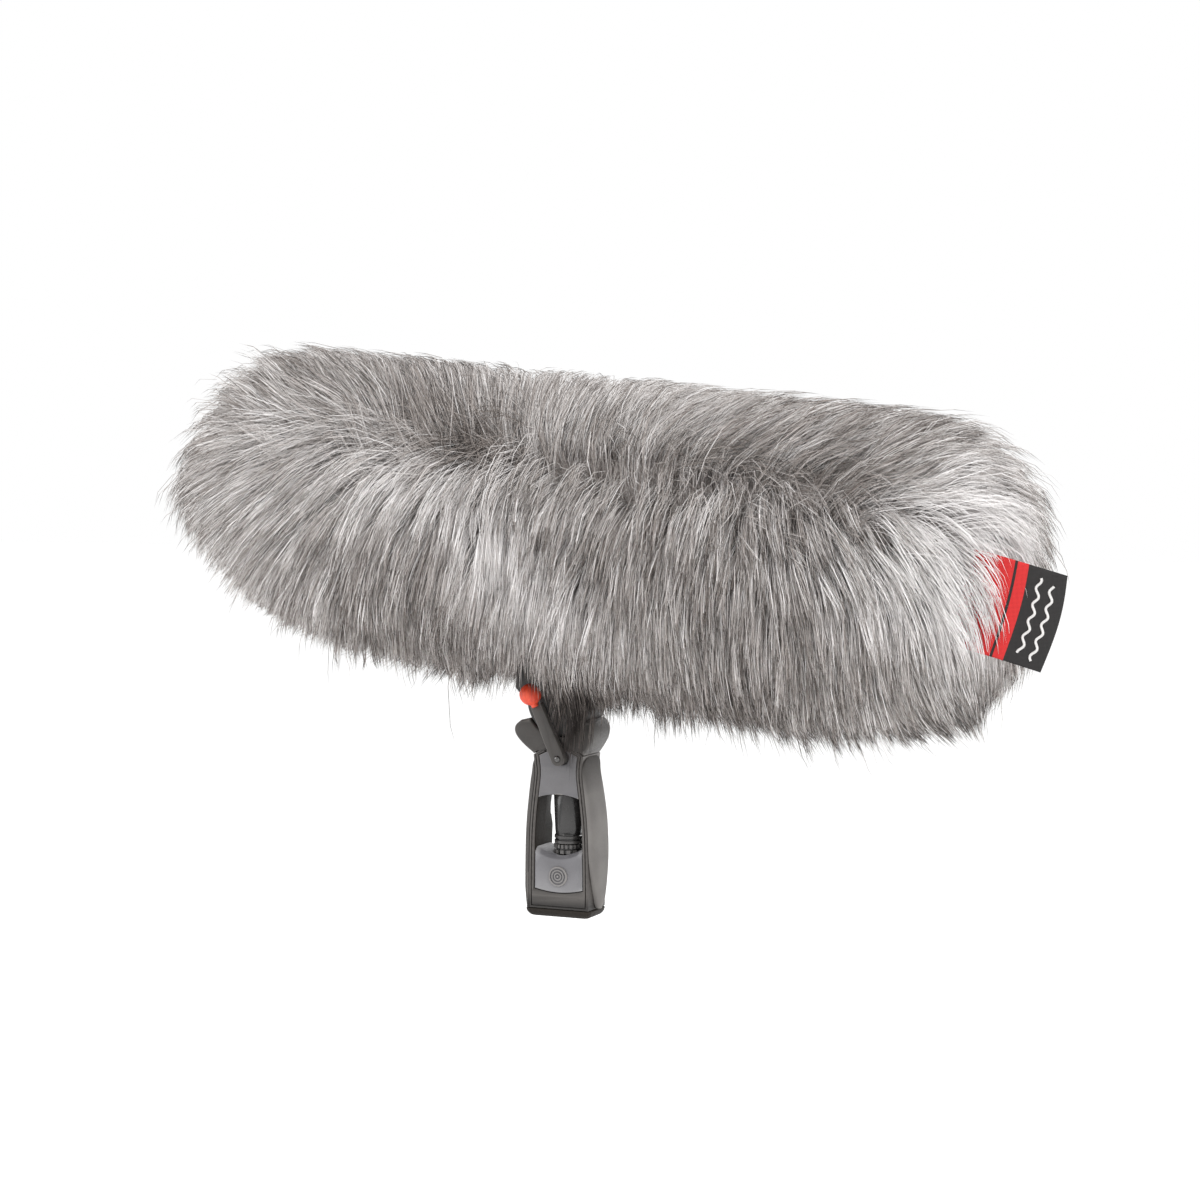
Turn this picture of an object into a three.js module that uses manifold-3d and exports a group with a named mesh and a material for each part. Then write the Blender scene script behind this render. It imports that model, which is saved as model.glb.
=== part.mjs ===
import * as THREE from 'three';
import { mergeVertices } from 'three/addons/utils/BufferGeometryUtils.js';
import Module from 'manifold-3d';

// A furry windscreen for a shotgun microphone, on a pistol grip.
// Millimetres. The origin is the middle of the grip's base face, +Z runs up the grip,
// +X points to the rear end of the basket, where the side label is, and -Y is the lever side.
// The grip stands upright. Everything above the tilt axle is drawn in a second frame, with its
// origin on the axle and its x along the basket's axis, and that frame leans by BASKET_LEAN.

const GAP = 0.3; // clearance between pieces that touch

// Pistol grip
const BASE_TOP = 5; // top of the base cap
const GRIP_HALF = 13; // half of the hard frame's thickness, across the hand
const GRIP_SHOULDER = 99; // where the frame meets the head at the front and rear
const GRIP_APEX = 109; // top of the frame's pointed end
const FRAME_EDGE = [ // half of the frame's front-to-back depth, at heights up the grip
  [BASE_TOP, 19.6], [20, 19.8], [45, 19.4], [60, 18.6], [75, 17], [88, 15.6], [GRIP_SHOULDER, 16.6],
];
const RIM = 3.6; // width of the frame's rim around the cheek plates and the window
const PAD_DEPTH = 4.2; // how far the rubber pads stand out at the front and rear
const BASE_ENDS = [-22.8, 20.8]; // front and rear ends of the base cap
const CHEEK_THICK = 1.5;
const CHEEK_RECESS = 1.9;
const WINDOW_LOW = 17.4;
const WINDOW_HIGH = 75;
const BLOCK_TOP = 42.5;
const ARCH_RISE = 2.2;

// Boom thread in the base, and the cable connector in the window
const INSERT_RADIUS = 7.5;
const INSERT_HEIGHT = 14;
const THREAD_RADIUS = 4.2;
const THREAD_DEPTH = 11;
const CONNECTOR_RADIUS = 9.4;
const CONNECTOR_PLACE = [1.5, 0, 0]; // it stands a little to the rear of the grip's middle
const CONNECTOR_LOW = 34.5;
const CONNECTOR_HIGH = 82;
const COLLAR_LOW = 38.5;
const COLLAR_HIGH = 44.3;
const BADGE_HEIGHT = 25.5;
const BADGE_RADIUS = 6;
const SHELL_SCREWS = [[-10, 12], [10, 12], [-17.5, 50], [17.5, 50]];

// Clamp lever
const CAM_PLACE = [2.5, 0, 97.7]; // a little to the rear of the grip's middle
const CAM_RADIUS = 4;
const CAM_END = 9;
const LEVER_LENGTH = 42.2;
const LEVER_LEAN = 24.4; // degrees forward of upright
const LEVER_FACE = -15.2; // side of the lever that faces the grip
const LEVER_THICK = 4.6;
const LEVER_ROUND = 4.4; // radius of the arm's foot
const LEVER_TOP_HALF = 3.6;
const LEVER_PIN_HOLE = 1.6;
const LEVER_PIN_RADIUS = 1.3;
const LEVER_PIN_HEAD = [2.4, 1.1]; // its radius, and how far it stands out
const KNOB_RADIUS = 6.6;
const KNOB_Y = -20.4;
const TANG_RADIUS = 1.8; // the arm's end runs up into the ball
const CAM_LOBE = [5.2, 0.9]; // the eccentric's radius, and how far it is off the lever's axis
const CAM_EYE = [9.6, 6.6]; // outer and inner radius of the rod's lower eye
const AXLE_EYE = 7.5; // outer radius of its upper eye

// Tilt head
const AXLE_HEIGHT = 132;
const BASKET_LEAN = 6;
const DRUM_RADIUS = 21.3;
const HOLLOW_RADIUS = 21.8;
const NECK_HALF = 12; // half of the drum's and the neck's thickness
const AXLE_RADIUS = 3;
const AXLE_OVERHANG = 2; // how far the axle stands out past the neck at each side
const ROD_HALF = 3.2;
const DRUM_EDGE = 12; // degrees below level where the drum runs out into the neck
const NECK_SIDE = [[30, 4], [30, 15], [24, 30], [24, 50.6]];
const ROD_SLOT = 8.2; // radius of the room for the rod's eye inside the drum
const ROD_SWING = 45; // degrees that the rod's slot in the drum reaches each way
const RISER = [18, 8]; // half sizes of the riser between the neck and the bar

// Basket, drawn in the leaning frame
const AXIS_HEIGHT = 101; // from the tilt axle to the basket's axis
const MIDDLE = 8; // the basket's middle, along its axis
const TUBE_RADIUS = 50;
const TUBE_HALF = 175;
const CAP_RING = 12;
const DOME_CENTRE = TUBE_HALF + CAP_RING;
const RIB = 2.4;

// Suspension inside the basket
const BAR_LOW = 57.3;
const BAR_HIGH = 61.3;
const BAR_HALF_WIDTH = 7;
const BAR_HALF = 120;
const SHOE_PLACE = 75;
const CLIP_BORE = 10;
const CLIP_OUTER = 13;
const BAR_SCREW_PLACE = 11;
const SCREW_RADIUS = 1.8;
const SCREW_HEAD = 3.5;
const SCREW_DEPTH = 10.6; // how far the bar's screws reach into the neck
const SHOE = { half: 9, side: 11, low: 55.6, high: 69, screw: 65.2 };
const LYRE_HALF = [[0, 70.3], [7, 71], [19, 79], [25.5, 92], [23, 103], [14.9, 103.5]];
const LYRE_SECTION = [4, 0.7];
const CLIP_MOUTH = 32; // half angle of the clip's mouth, about straight up
const CLIP_HALF = 7;

// Fur cover
const CLOTH_RADIUS = 52.5;
const FUR_RADIUS = 86;
const SLEEVE_HALF = 200;
const FUR_HALF = 258;
const END_ROUND = 46; // radius of the rounding at each end
const NECK_OPENING = [36, 18]; // half sizes of the hole for the neck
const ZIP_START = 38;
const ZIP_END = 196;
const ZIP_HALF_WIDTH = 8;
const SLIDER_PLACE = 165;
const TAPE_EDGE = 1.8; // from the zip's middle line to each tape
const TAPE_UNDER = [0.7, 1.6]; // the tapes' top and bottom, below the cover's cloth
const TOOTH_PITCH = 5;
const TOOTH_DEPTH = [0.3, 0.8, 1.5]; // tips, gaps and backs of the teeth, from the zip's middle line
const TEETH_UNDER = 2.2;
const STOP_UNDER = [2.5, 4.4];
const SLIDER_UNDER = 2.6;
const SLIDER_SIZE = [12, 9, 2.2];
const LUG_INNER = 1.6; // half of the gap between the slider's two lugs
const LUG_OUTER = 3.4;
const LUG_HALF = 2;
const LUG_DROP = 2.4; // from the slider to the pull's hinge
const HINGE_RADIUS = 0.7;
const PULL_THICK = 0.7; // half of the pull tab's thickness
const PULL_EYE = [1.6, 1];
const PULL_STEM = 1.2;
const PULL_WIDTH = 2.4;
const PULL_LENGTH = 22;

// Side label
const LABEL_EDGE = [305, -46, 89]; // middle of its outer edge
const LABEL_TURN = 9.2; // degrees that its outer edge droops
const LABEL_SIZE = [55, 0.9, 54.6];

const wasm = await Module();
wasm.setup();

// Colours of the model's materials, with roughness and metalness.
const MATERIALS = {
  frame: [0x3c3835, 0.55, 0],
  rubber: [0x5a5754, 0.85, 0],
  cheek: [0x65615e, 0.6, 0],
  knob: [0xe6502f, 0.5, 0],
  steel: [0xb4b4b4, 0.3, 1],
  brass: [0xb08d4a, 0.35, 1],
  connector: [0x1c1b1b, 0.25, 0],
  plastic: [0x2a2a2b, 0.5, 0],
  mesh: [0x55565a, 0.9, 0],
  fur: [0x96908c, 0.95, 0],
  tape: [0x201f1f, 0.9, 0],
  label: [0x151414, 0.8, 0],
};

const degrees = THREE.MathUtils.degToRad;

// A geometry as a solid: shared vertices merged, faces with no area dropped, facing out.
function solid(geometry) {
  const bare = geometry.clone();
  bare.deleteAttribute('normal');
  bare.deleteAttribute('uv');
  const merged = mergeVertices(bare, 1e-4);
  const points = merged.attributes.position;
  const index = merged.index.array;
  const corner = [new THREE.Vector3(), new THREE.Vector3(), new THREE.Vector3()];
  const kept = [];
  let volume = 0;
  for (let i = 0; i < index.length; i += 3) {
    const [a, b, c] = [index[i], index[i + 1], index[i + 2]];
    if (a === b || b === c || c === a) continue;
    kept.push(a, b, c);
    [a, b, c].forEach((vertex, k) => corner[k].fromBufferAttribute(points, vertex));
    volume += corner[0].dot(corner[1].cross(corner[2]));
  }
  if (volume < 0) kept.reverse();
  return new wasm.Manifold(new wasm.Mesh({
    numProp: 3,
    vertProperties: new Float32Array(points.array),
    triVerts: new Uint32Array(kept),
  }));
}

function geometryOf(shape) {
  const mesh = shape.getMesh();
  const geometry = new THREE.BufferGeometry();
  geometry.setAttribute('position', new THREE.BufferAttribute(mesh.vertProperties, 3));
  geometry.setIndex(new THREE.BufferAttribute(mesh.triVerts, 1));
  return geometry;
}

// A box between two corners.
function box(low, high) {
  const size = low.map((value, k) => high[k] - value);
  const geometry = new THREE.BoxGeometry(...size);
  return solid(geometry.translate(...low.map((value, k) => value + size[k] / 2)));
}

// A profile of [radius, height] points, turned about z. One that starts off the axis is a ring, closed here.
function turned(profile, segments) {
  const closed = profile[0][0] > 0 ? [...profile, profile[0]] : profile;
  const points = closed.map(([radius, height]) => new THREE.Vector2(radius, height));
  return solid(new THREE.LatheGeometry(points, segments).rotateX(Math.PI / 2));
}

// A round bar along z, y or x, from low to high, with its middle on the axis through the centre.
function bar(axis, radius, low, high, centre = [0, 0, 0], segments = 20) {
  const profile = [[0, low], [radius, low], [radius, high], [0, high]];
  return aimed(turned(profile, segments), axis).translate(centre);
}

// Turns a solid made about z so that it lies about the given axis.
function aimed(shape, axis) {
  const turns = { z: [0, 0, 0], y: [-90, 0, 0], x: [0, 90, 0] };
  return shape.rotate(turns[axis]);
}

// An outline in the x-z plane, between two values of y given in either order.
function plate(outline, first, last) {
  const shape = new THREE.Shape(outline.map((point) => new THREE.Vector2(...point)));
  const geometry = new THREE.ExtrudeGeometry(shape, { depth: Math.abs(last - first), bevelEnabled: false });
  return solid(geometry.rotateX(Math.PI / 2).translate(0, Math.max(first, last), 0));
}

// An outline in the y-z plane, between two values of x.
function slice(outline, low, high) {
  return plate(outline.map(([y, z]) => [-y, z]), low, high).rotate([0, 0, -90]);
}

function arc(centre, radius, from, to, steps) {
  return Array.from({ length: steps + 1 }, (_, k) => {
    const angle = degrees(from + ((to - from) * k) / steps);
    return [centre[0] + radius * Math.cos(angle), centre[1] + radius * Math.sin(angle)];
  });
}

const upright = new THREE.Group();
const leaning = new THREE.Group();
leaning.position.z = AXLE_HEIGHT;
leaning.rotation.y = degrees(BASKET_LEAN);
const root = new THREE.Group();
root.add(upright, leaning);

function add(group, name, shape, material) {
  const [color, roughness, metalness] = MATERIALS[material];
  const mesh = new THREE.Mesh(geometryOf(shape), new THREE.MeshStandardMaterial({ color, roughness, metalness }));
  mesh.name = name;
  group.add(mesh);
}

// Half of the hard frame's front-to-back depth, by height, along a smooth curve through FRAME_EDGE.
const edgeSamples = new THREE.SplineCurve(FRAME_EDGE.map(([z, half]) => new THREE.Vector2(half, z))).getPoints(80);

function halfDepth(z) {
  const next = Math.max(1, edgeSamples.findIndex((sample) => sample.y >= z));
  const [below, above] = [edgeSamples[next - 1], edgeSamples[next]];
  return THREE.MathUtils.mapLinear(z, below.y, above.y, below.x, above.x);
}

// The frame's rear edge, moved out by grow, from low to high.
function edge(grow, low, high, steps) {
  return Array.from({ length: steps + 1 }, (_, k) => {
    const z = low + ((high - low) * k) / steps;
    return [halfDepth(z) + grow, z];
  });
}

const mirrored = (points) => points.map(([x, z]) => [-x, z]).reverse();
const bothSides = (side, ...top) => [...side, ...top, ...mirrored(side)];

// A screw that holds the two halves of the frame together, put in from the far side.
function shellScrew([x, z], grow) {
  const [tip, neck] = [-8 - grow, GRIP_HALF - 1.6 - grow];
  const [shank, head] = [0.8 + grow, 1.5 + grow];
  const top = GRIP_HALF + grow;
  const profile = [[0, tip], [shank, tip], [shank, neck], [head, neck], [head, top], [0, top]];
  return aimed(turned(profile, 12), 'y').translate([x, 0, z]);
}

function addGrip() {
  const outline = bothSides(edge(0, BASE_TOP + GAP, GRIP_SHOULDER, 12), [0, GRIP_APEX]);
  const windowTop = WINDOW_HIGH - ARCH_RISE;
  const half = halfDepth(windowTop) - RIM;
  const haunch = windowTop + ARCH_RISE * 0.75;
  const arch = [[half / 2, haunch], [0, WINDOW_HIGH], [-half / 2, haunch]];
  const window = bothSides(edge(-RIM, WINDOW_LOW, windowTop, 6), ...arch);
  const recess = [...bothSides(edge(-RIM, WINDOW_HIGH, GRIP_SHOULDER, 4), [0, GRIP_APEX - RIM]),
    [0, WINDOW_HIGH + ARCH_RISE]];
  const cheekSide = edge(-RIM - GAP, WINDOW_HIGH + 1, GRIP_SHOULDER - GAP, 4);
  const cheek = [...bothSides(cheekSide, [0, GRIP_APEX - RIM - 2 * GAP]), [0, WINDOW_HIGH + ARCH_RISE + 1]];

  const camHole = bar('y', CAM_RADIUS + 0.4, -GRIP_HALF - 1, CAM_END + 0.5, CAM_PLACE);
  const [camX, , camZ] = CAM_PLACE;
  const hollows = [
    plate(window, -GRIP_HALF - 1, GRIP_HALF + 1),
    bar('z', INSERT_RADIUS + GAP, 0, INSERT_HEIGHT + GAP),
    bar('z', CONNECTOR_RADIUS + 2 * GAP, CONNECTOR_LOW - GAP, CONNECTOR_HIGH + GAP, CONNECTOR_PLACE),
    box([camX - 11, -ROD_HALF - GAP, camZ - 10.5], [camX + 11, ROD_HALF + GAP, GRIP_APEX + 1]),
    camHole,
    ...SHELL_SCREWS.map((place) => shellScrew(place, GAP / 2)),
  ];
  for (const [name, sign] of [['near', -1], ['far', 1]]) {
    const floor = sign * (GRIP_HALF - CHEEK_RECESS);
    const shell = [...hollows, plate(recess, floor, sign * (GRIP_HALF + 1))]
      .reduce((rest, hollow) => rest.subtract(hollow), plate(outline, (sign * GAP) / 2, sign * GRIP_HALF));
    add(upright, `grip_frame_${name}`, shell, 'frame');
    const cover = plate(cheek, floor + sign * GAP, floor + sign * (GAP + CHEEK_THICK));
    add(upright, `cheek_plate_${name}`, cover.subtract(camHole), 'cheek');
  }
  SHELL_SCREWS.forEach((place, k) => add(upright, `grip_screw_${k + 1}`, shellScrew(place, 0), 'steel'));
}

// The rubber pads round the frame's front and rear edges. Each thins out at its ends.
function addPads() {
  for (const [name, sign, low, high] of [['front', -1, 7, 97], ['rear', 1, 7, 98]]) {
    const outer = edge(0, low, high, 10).map(([x, z]) => {
      const along = (z - low) / (high - low);
      return [x + GAP + PAD_DEPTH * Math.min(1, 6 * along, 6 * (1 - along)) ** 0.5, z];
    });
    const outline = [...edge(GAP, low, high, 10), ...outer.slice(1, -1).reverse()];
    const pad = plate(sign > 0 ? outline : mirrored(outline), -GRIP_HALF, GRIP_HALF);
    add(upright, `rubber_pad_${name}`, pad, 'rubber');
  }
}

function addBase() {
  const [front, rear] = BASE_ENDS;
  const cap = box([front, -GRIP_HALF, 0], [rear, GRIP_HALF, BASE_TOP])
    .subtract(bar('z', INSERT_RADIUS + GAP, -1, INSERT_HEIGHT));
  add(upright, 'base_cap', cap, 'frame');
  const insert = turned([[0, THREAD_DEPTH], [THREAD_RADIUS, THREAD_DEPTH], [THREAD_RADIUS, 0], [INSERT_RADIUS, 0],
    [INSERT_RADIUS, INSERT_HEIGHT], [0, INSERT_HEIGHT]], 24);
  add(upright, 'boom_thread_insert', insert, 'brass');
}

// The lower block fills the window's foot. Its top dips in the middle, and the connector stands in it.
function addBlock() {
  const side = edge(-RIM - GAP, WINDOW_LOW + GAP, BLOCK_TOP, 4);
  const dipRadius = 26.2;
  const dip = arc([0, BLOCK_TOP + 22], dipRadius, -62, -118, 8);
  const block = plate(bothSides(side, ...dip), -GRIP_HALF + GAP, GRIP_HALF - GAP)
    .subtract(bar('z', CONNECTOR_RADIUS + GAP, CONNECTOR_LOW - GAP, BLOCK_TOP + 10, CONNECTOR_PLACE))
    .subtract(bar('z', INSERT_RADIUS + GAP, 0, INSERT_HEIGHT + GAP));
  add(upright, 'connector_block', block, 'cheek');
  for (const [name, sign] of [['near', -1], ['far', 1]]) {
    const disc = arc([0, BADGE_HEIGHT], BADGE_RADIUS, 0, 345, 23);
    const badge = plate(disc, sign * GRIP_HALF, sign * (GRIP_HALF + 1));
    add(upright, `badge_${name}`, badge, 'cheek');
  }
}

// A ring foot stands in the block, a ribbed collar on it, and the barrel runs up into the frame.
function addConnector() {
  const foot = CONNECTOR_RADIUS - 0.4;
  const hollow = 4;
  const ring = (radius, low, high) => turned([[hollow, low], [radius, low], [radius, high], [hollow, high]], 28)
    .translate(CONNECTOR_PLACE);
  add(upright, 'connector_ring', ring(foot, CONNECTOR_LOW, COLLAR_LOW - 2 * GAP), 'steel');
  add(upright, 'connector_collar', ring(CONNECTOR_RADIUS, COLLAR_LOW, COLLAR_HIGH), 'connector');
  const low = COLLAR_HIGH + GAP;
  const waist = CONNECTOR_RADIUS - 0.8;
  const tail = 6; // radius of the barrel's top, and of the cable's hole below
  const profile = [[0, low], [waist, low], [waist, low + 6], [CONNECTOR_RADIUS, low + 8],
    [CONNECTOR_RADIUS, CONNECTOR_HIGH - 8], [tail, CONNECTOR_HIGH], [0, CONNECTOR_HIGH]];
  const cableHole = bar('z', tail / 2, CONNECTOR_HIGH - 14, CONNECTOR_HIGH + 1);
  const barrel = turned(profile, 28).subtract(cableHole).translate(CONNECTOR_PLACE);
  add(upright, 'connector_barrel', barrel, 'connector');
}

// The head rises from the frame's pointed end, with a wing at the front and one at the rear,
// and a round hollow between them for the drum.
function addHead() {
  const shoulder = [16.6, GRIP_SHOULDER + 2 * GAP];
  const rearWing = [shoulder, [20, 104.5], [22.4, 109], [23.3, 113], [23, 116.6], [21.5, 119.6]];
  const frontWing = [shoulder, [23, 104.5], [27.5, 109], [29.4, 113], [28.6, 116.6], [25, 119.6]];
  const reach = 60; // half angle of the hollow, from straight down
  const hollow = arc([0, AXLE_HEIGHT], HOLLOW_RADIUS, reach - 90, -90 - reach, 24);
  const eye = CAM_EYE[0] + GAP;
  const slot = box([-ROD_HALF - 1, -ROD_HALF - GAP, 100], [ROD_HALF + 1, ROD_HALF + GAP, 130])
    .add(bar('y', eye, -ROD_HALF - GAP, ROD_HALF + GAP, CAM_PLACE));
  const outline = [...rearWing, ...hollow, ...mirrored(frontWing), [0, GRIP_APEX + 2 * GAP]];
  add(upright, 'grip_head', plate(outline, -GRIP_HALF, GRIP_HALF).subtract(slot), 'frame');
}

// The clamp: the lever turns a cam, and the cam draws the rod and the axle down.
function addClamp() {
  const [eyeOuter, eyeInner] = CAM_EYE;
  const through = ROD_HALF + 1;
  const [camX, , camZ] = CAM_PLACE;
  const rod = plate(arc([camX, camZ], eyeOuter, 0, 345, 23), -ROD_HALF, ROD_HALF)
    .add(plate(arc([0, AXLE_HEIGHT], AXLE_EYE, 0, 345, 23), -ROD_HALF, ROD_HALF))
    .add(box([-ROD_HALF, -ROD_HALF, camZ], [ROD_HALF, ROD_HALF, AXLE_HEIGHT]))
    .subtract(bar('y', eyeInner, -through, through, CAM_PLACE))
    .subtract(bar('y', AXLE_RADIUS + GAP, -through, through, [0, 0, AXLE_HEIGHT]));
  add(upright, 'clamp_rod', rod, 'steel');

  const pinDepth = 6; // how far from the middle the lever's pin ends
  const [lobeRadius, lobeRise] = CAM_LOBE;
  const cam = bar('y', CAM_RADIUS, LEVER_FACE + GAP, CAM_END, CAM_PLACE)
    .add(bar('y', lobeRadius, -ROD_HALF + GAP, ROD_HALF - GAP, [camX, 0, camZ + lobeRise]))
    .subtract(bar('y', LEVER_PIN_HOLE, LEVER_FACE - 1, -pinDepth, CAM_PLACE, 12));
  add(upright, 'lever_cam', cam, 'steel');

  const place = (shape) => shape.rotate([0, -LEVER_LEAN, 0]).translate(CAM_PLACE);
  const outer = LEVER_FACE - LEVER_THICK;
  const top = LEVER_LENGTH - KNOB_RADIUS - 0.4;
  const outline = [...arc([0, 0], LEVER_ROUND, 180, 360, 10), [LEVER_TOP_HALF, top], [-LEVER_TOP_HALF, top]];
  const arm = plate(outline, outer, LEVER_FACE)
    .subtract(bar('y', LEVER_PIN_HOLE, outer - 1, LEVER_FACE + 1, [0, 0, 0], 12));
  add(upright, 'lever_arm', place(arm), 'frame');
  const tang = bar('z', TANG_RADIUS, top + GAP, top + 2, [0, KNOB_Y, 0]);
  const ball = new THREE.SphereGeometry(KNOB_RADIUS, 20, 12);
  const knob = solid(ball).translate([0, KNOB_Y, LEVER_LENGTH]).add(tang);
  add(upright, 'lever_knob', place(knob), 'knob');
  const [headRadius, headRise] = LEVER_PIN_HEAD;
  const pin = bar('y', LEVER_PIN_RADIUS, outer - GAP, -pinDepth - 2, [0, 0, 0], 12)
    .add(bar('y', headRadius, outer - GAP - headRise, outer - GAP, [0, 0, 0], 16));
  add(upright, 'lever_pin', place(pin), 'steel');

  const reach = NECK_HALF + AXLE_OVERHANG;
  const axle = bar('y', AXLE_RADIUS, -reach, reach, [0, 0, AXLE_HEIGHT]);
  add(upright, 'tilt_axle', axle, 'steel');
}

// The drum turns in the head's hollow, and its neck widens and rises to the basket.
function addNeck() {
  const drum = arc([0, 0], DRUM_RADIUS, DRUM_EDGE - 180, -DRUM_EDGE, 22);
  const slotHalf = ROD_HALF + GAP;
  const wedge = arc([0, 0], DRUM_RADIUS + 3, -90 - ROD_SWING, -90 + ROD_SWING, 8);
  const slot = plate([[0, 0], ...wedge], -slotHalf, slotHalf);
  let neck = plate([...drum, ...NECK_SIDE, ...mirrored(NECK_SIDE)], -NECK_HALF, NECK_HALF)
    .subtract(slot)
    .subtract(bar('y', ROD_SLOT, -slotHalf, slotHalf))
    .subtract(bar('y', AXLE_RADIUS + GAP, -NECK_HALF - 1, NECK_HALF + 1));
  const [riserX, riserY] = RISER;
  const neckTop = NECK_SIDE[NECK_SIDE.length - 1][1];
  let riser = box([-riserX, -riserY, neckTop + GAP], [riserX, riserY, BAR_LOW - GAP]);
  let rail = box([-BAR_HALF, -BAR_HALF_WIDTH, BAR_LOW], [BAR_HALF, BAR_HALF_WIDTH, BAR_HIGH]);
  for (const [name, x] of [['front', -BAR_SCREW_PLACE], ['rear', BAR_SCREW_PLACE]]) {
    const hole = bar('z', SCREW_RADIUS + GAP, neckTop - SCREW_DEPTH - 2, BAR_HIGH + 5, [x, 0, 0], 12);
    neck = neck.subtract(hole);
    riser = riser.subtract(hole);
    rail = rail.subtract(hole);
    const screw = bar('z', SCREW_RADIUS, neckTop - SCREW_DEPTH, BAR_HIGH + 1, [x, 0, 0], 12)
      .add(bar('z', SCREW_HEAD, BAR_HIGH + GAP, BAR_HIGH + 3, [x, 0, 0], 12));
    add(leaning, `bar_screw_${name}`, screw, 'steel');
  }
  add(leaning, 'basket_neck', neck, 'plastic');
  add(leaning, 'bar_riser', riser, 'plastic');
  add(leaning, 'suspension_bar', rail, 'plastic');
}

// Each suspension is a shoe on the bar, a springy lyre, and a clip that holds the microphone.
function addSuspension(name, x) {
  const past = SHOE.half + 1;
  const railSide = BAR_HALF_WIDTH + GAP;
  const lip = 5; // half of the gap between the shoe's two lips under the bar
  const shoe = box([-SHOE.half, -SHOE.side, SHOE.low], [SHOE.half, SHOE.side, SHOE.high])
    .subtract(box([-past, -railSide, BAR_LOW - GAP], [past, railSide, BAR_HIGH + GAP]))
    .subtract(box([-past, -lip, SHOE.low - 5], [past, lip, BAR_HIGH]))
    .subtract(bar('y', SCREW_RADIUS + GAP, SHOE.side - 5, SHOE.side + 1, [0, 0, SHOE.screw], 12));
  add(leaning, `suspension_shoe_${name}`, shoe.translate([x, 0, 0]), 'plastic');
  const screw = bar('y', SCREW_RADIUS, SHOE.side - 4.6, SHOE.side + 1, [0, 0, SHOE.screw], 12)
    .add(bar('y', SCREW_HEAD - GAP, SHOE.side + GAP, SHOE.side + 3, [0, 0, SHOE.screw], 12));
  add(leaning, `shoe_screw_${name}`, screw.translate([x, 0, 0]), 'steel');

  const route = [...LYRE_HALF.slice(1).reverse().map(([y, z]) => [-y, z]), ...LYRE_HALF];
  const path = new THREE.CatmullRomCurve3(route.map(([y, z]) => new THREE.Vector3(0, y, z)));
  const [wide, thick] = LYRE_SECTION;
  const corners = [[-wide, -thick], [wide, -thick], [wide, thick], [-wide, thick]];
  const section = new THREE.Shape(corners.map((corner) => new THREE.Vector2(...corner)));
  const lyre = new THREE.ExtrudeGeometry(section, { steps: 32, bevelEnabled: false, extrudePath: path });
  add(leaning, `lyre_${name}`, solid(lyre).translate([x, 0, 0]), 'plastic');

  const outer = arc([0, AXIS_HEIGHT], CLIP_OUTER, 90 - CLIP_MOUTH, -270 + CLIP_MOUTH, 24);
  const inner = arc([0, AXIS_HEIGHT], CLIP_BORE, -270 + CLIP_MOUTH, 90 - CLIP_MOUTH, 24);
  const clip = slice([...outer, ...inner], x - CLIP_HALF, x + CLIP_HALF);
  add(leaning, `microphone_clip_${name}`, clip, 'plastic');
}

// The basket's tube: ribs along it joined by hoops, with a hole for the riser underneath.
function hoop(outer, low, high) {
  const inner = outer - RIB;
  const ring = turned([[inner, low], [outer, low], [outer, high], [inner, high]], 28);
  return aimed(ring, 'x').translate([0, 0, AXIS_HEIGHT]);
}

function addTube() {
  const low = MIDDLE - TUBE_HALF;
  const high = MIDDLE + TUBE_HALF;
  const hoops = 5;
  let cage = hoop(TUBE_RADIUS, low, low + 6);
  for (let k = 1; k < hoops; k += 1) {
    const place = low + ((high - low - 6) * k) / (hoops - 1);
    cage = cage.add(hoop(TUBE_RADIUS, place, place + 6));
  }
  const ribs = 8;
  for (let k = 0; k < ribs; k += 1) {
    const rib = box([low + 1, -2, TUBE_RADIUS - RIB], [high - 1, 2, TUBE_RADIUS - 0.2]);
    cage = cage.add(rib.rotate([(360 * (k + 0.5)) / ribs, 0, 0]).translate([0, 0, AXIS_HEIGHT]));
  }
  const hole = box([-19, -9, 30], [19, 9, 70]);
  add(leaning, 'basket_cage', cage.subtract(hole), 'plastic');

  const skinInner = TUBE_RADIUS + GAP;
  const skin = turned([[skinInner, low], [skinInner + 0.7, low], [skinInner + 0.7, high], [skinInner, high]], 28);
  const around = aimed(skin, 'x').translate([0, 0, AXIS_HEIGHT]);
  add(leaning, 'basket_mesh', around.subtract(box([-26, -14, 30], [26, 14, 70])), 'mesh');
}

// A dome closes each end of the basket and turns on the tube to lock.
function addCap(name, side) {
  const start = TUBE_HALF + GAP;
  const shoulder = turned([[TUBE_RADIUS - RIB, start], [TUBE_RADIUS, start], [TUBE_RADIUS, DOME_CENTRE],
    [TUBE_RADIUS - RIB, DOME_CENTRE]], 28);
  let cage = shoulder;
  const outerArc = arc([0, DOME_CENTRE], TUBE_RADIUS - 0.1, 0, 180, 20);
  const innerArc = arc([0, DOME_CENTRE], TUBE_RADIUS - RIB, 180, 0, 20);
  const spokes = 3;
  for (let k = 0; k < spokes; k += 1) {
    const spoke = plate([...outerArc, ...innerArc], -1.6, 1.6);
    cage = cage.add(spoke.rotate([0, 0, (180 * k) / spokes]));
  }
  const facing = (shape) => (side < 0 ? shape.mirror([0, 0, 1]) : shape);
  const place = (shape) => aimed(facing(shape), 'x').translate([MIDDLE, 0, AXIS_HEIGHT]);
  add(leaning, `${name}_dome_cage`, place(cage), 'plastic');

  const skin = (radius) => arc([0, DOME_CENTRE], radius, 0, 90, 7);
  const inner = TUBE_RADIUS + 2 * GAP;
  const profile = [[inner, start], [inner + 0.7, start], ...skin(inner + 0.7), ...skin(inner).reverse()];
  add(leaning, `${name}_dome_mesh`, place(turned(profile, 28)), 'mesh');
}

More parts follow.
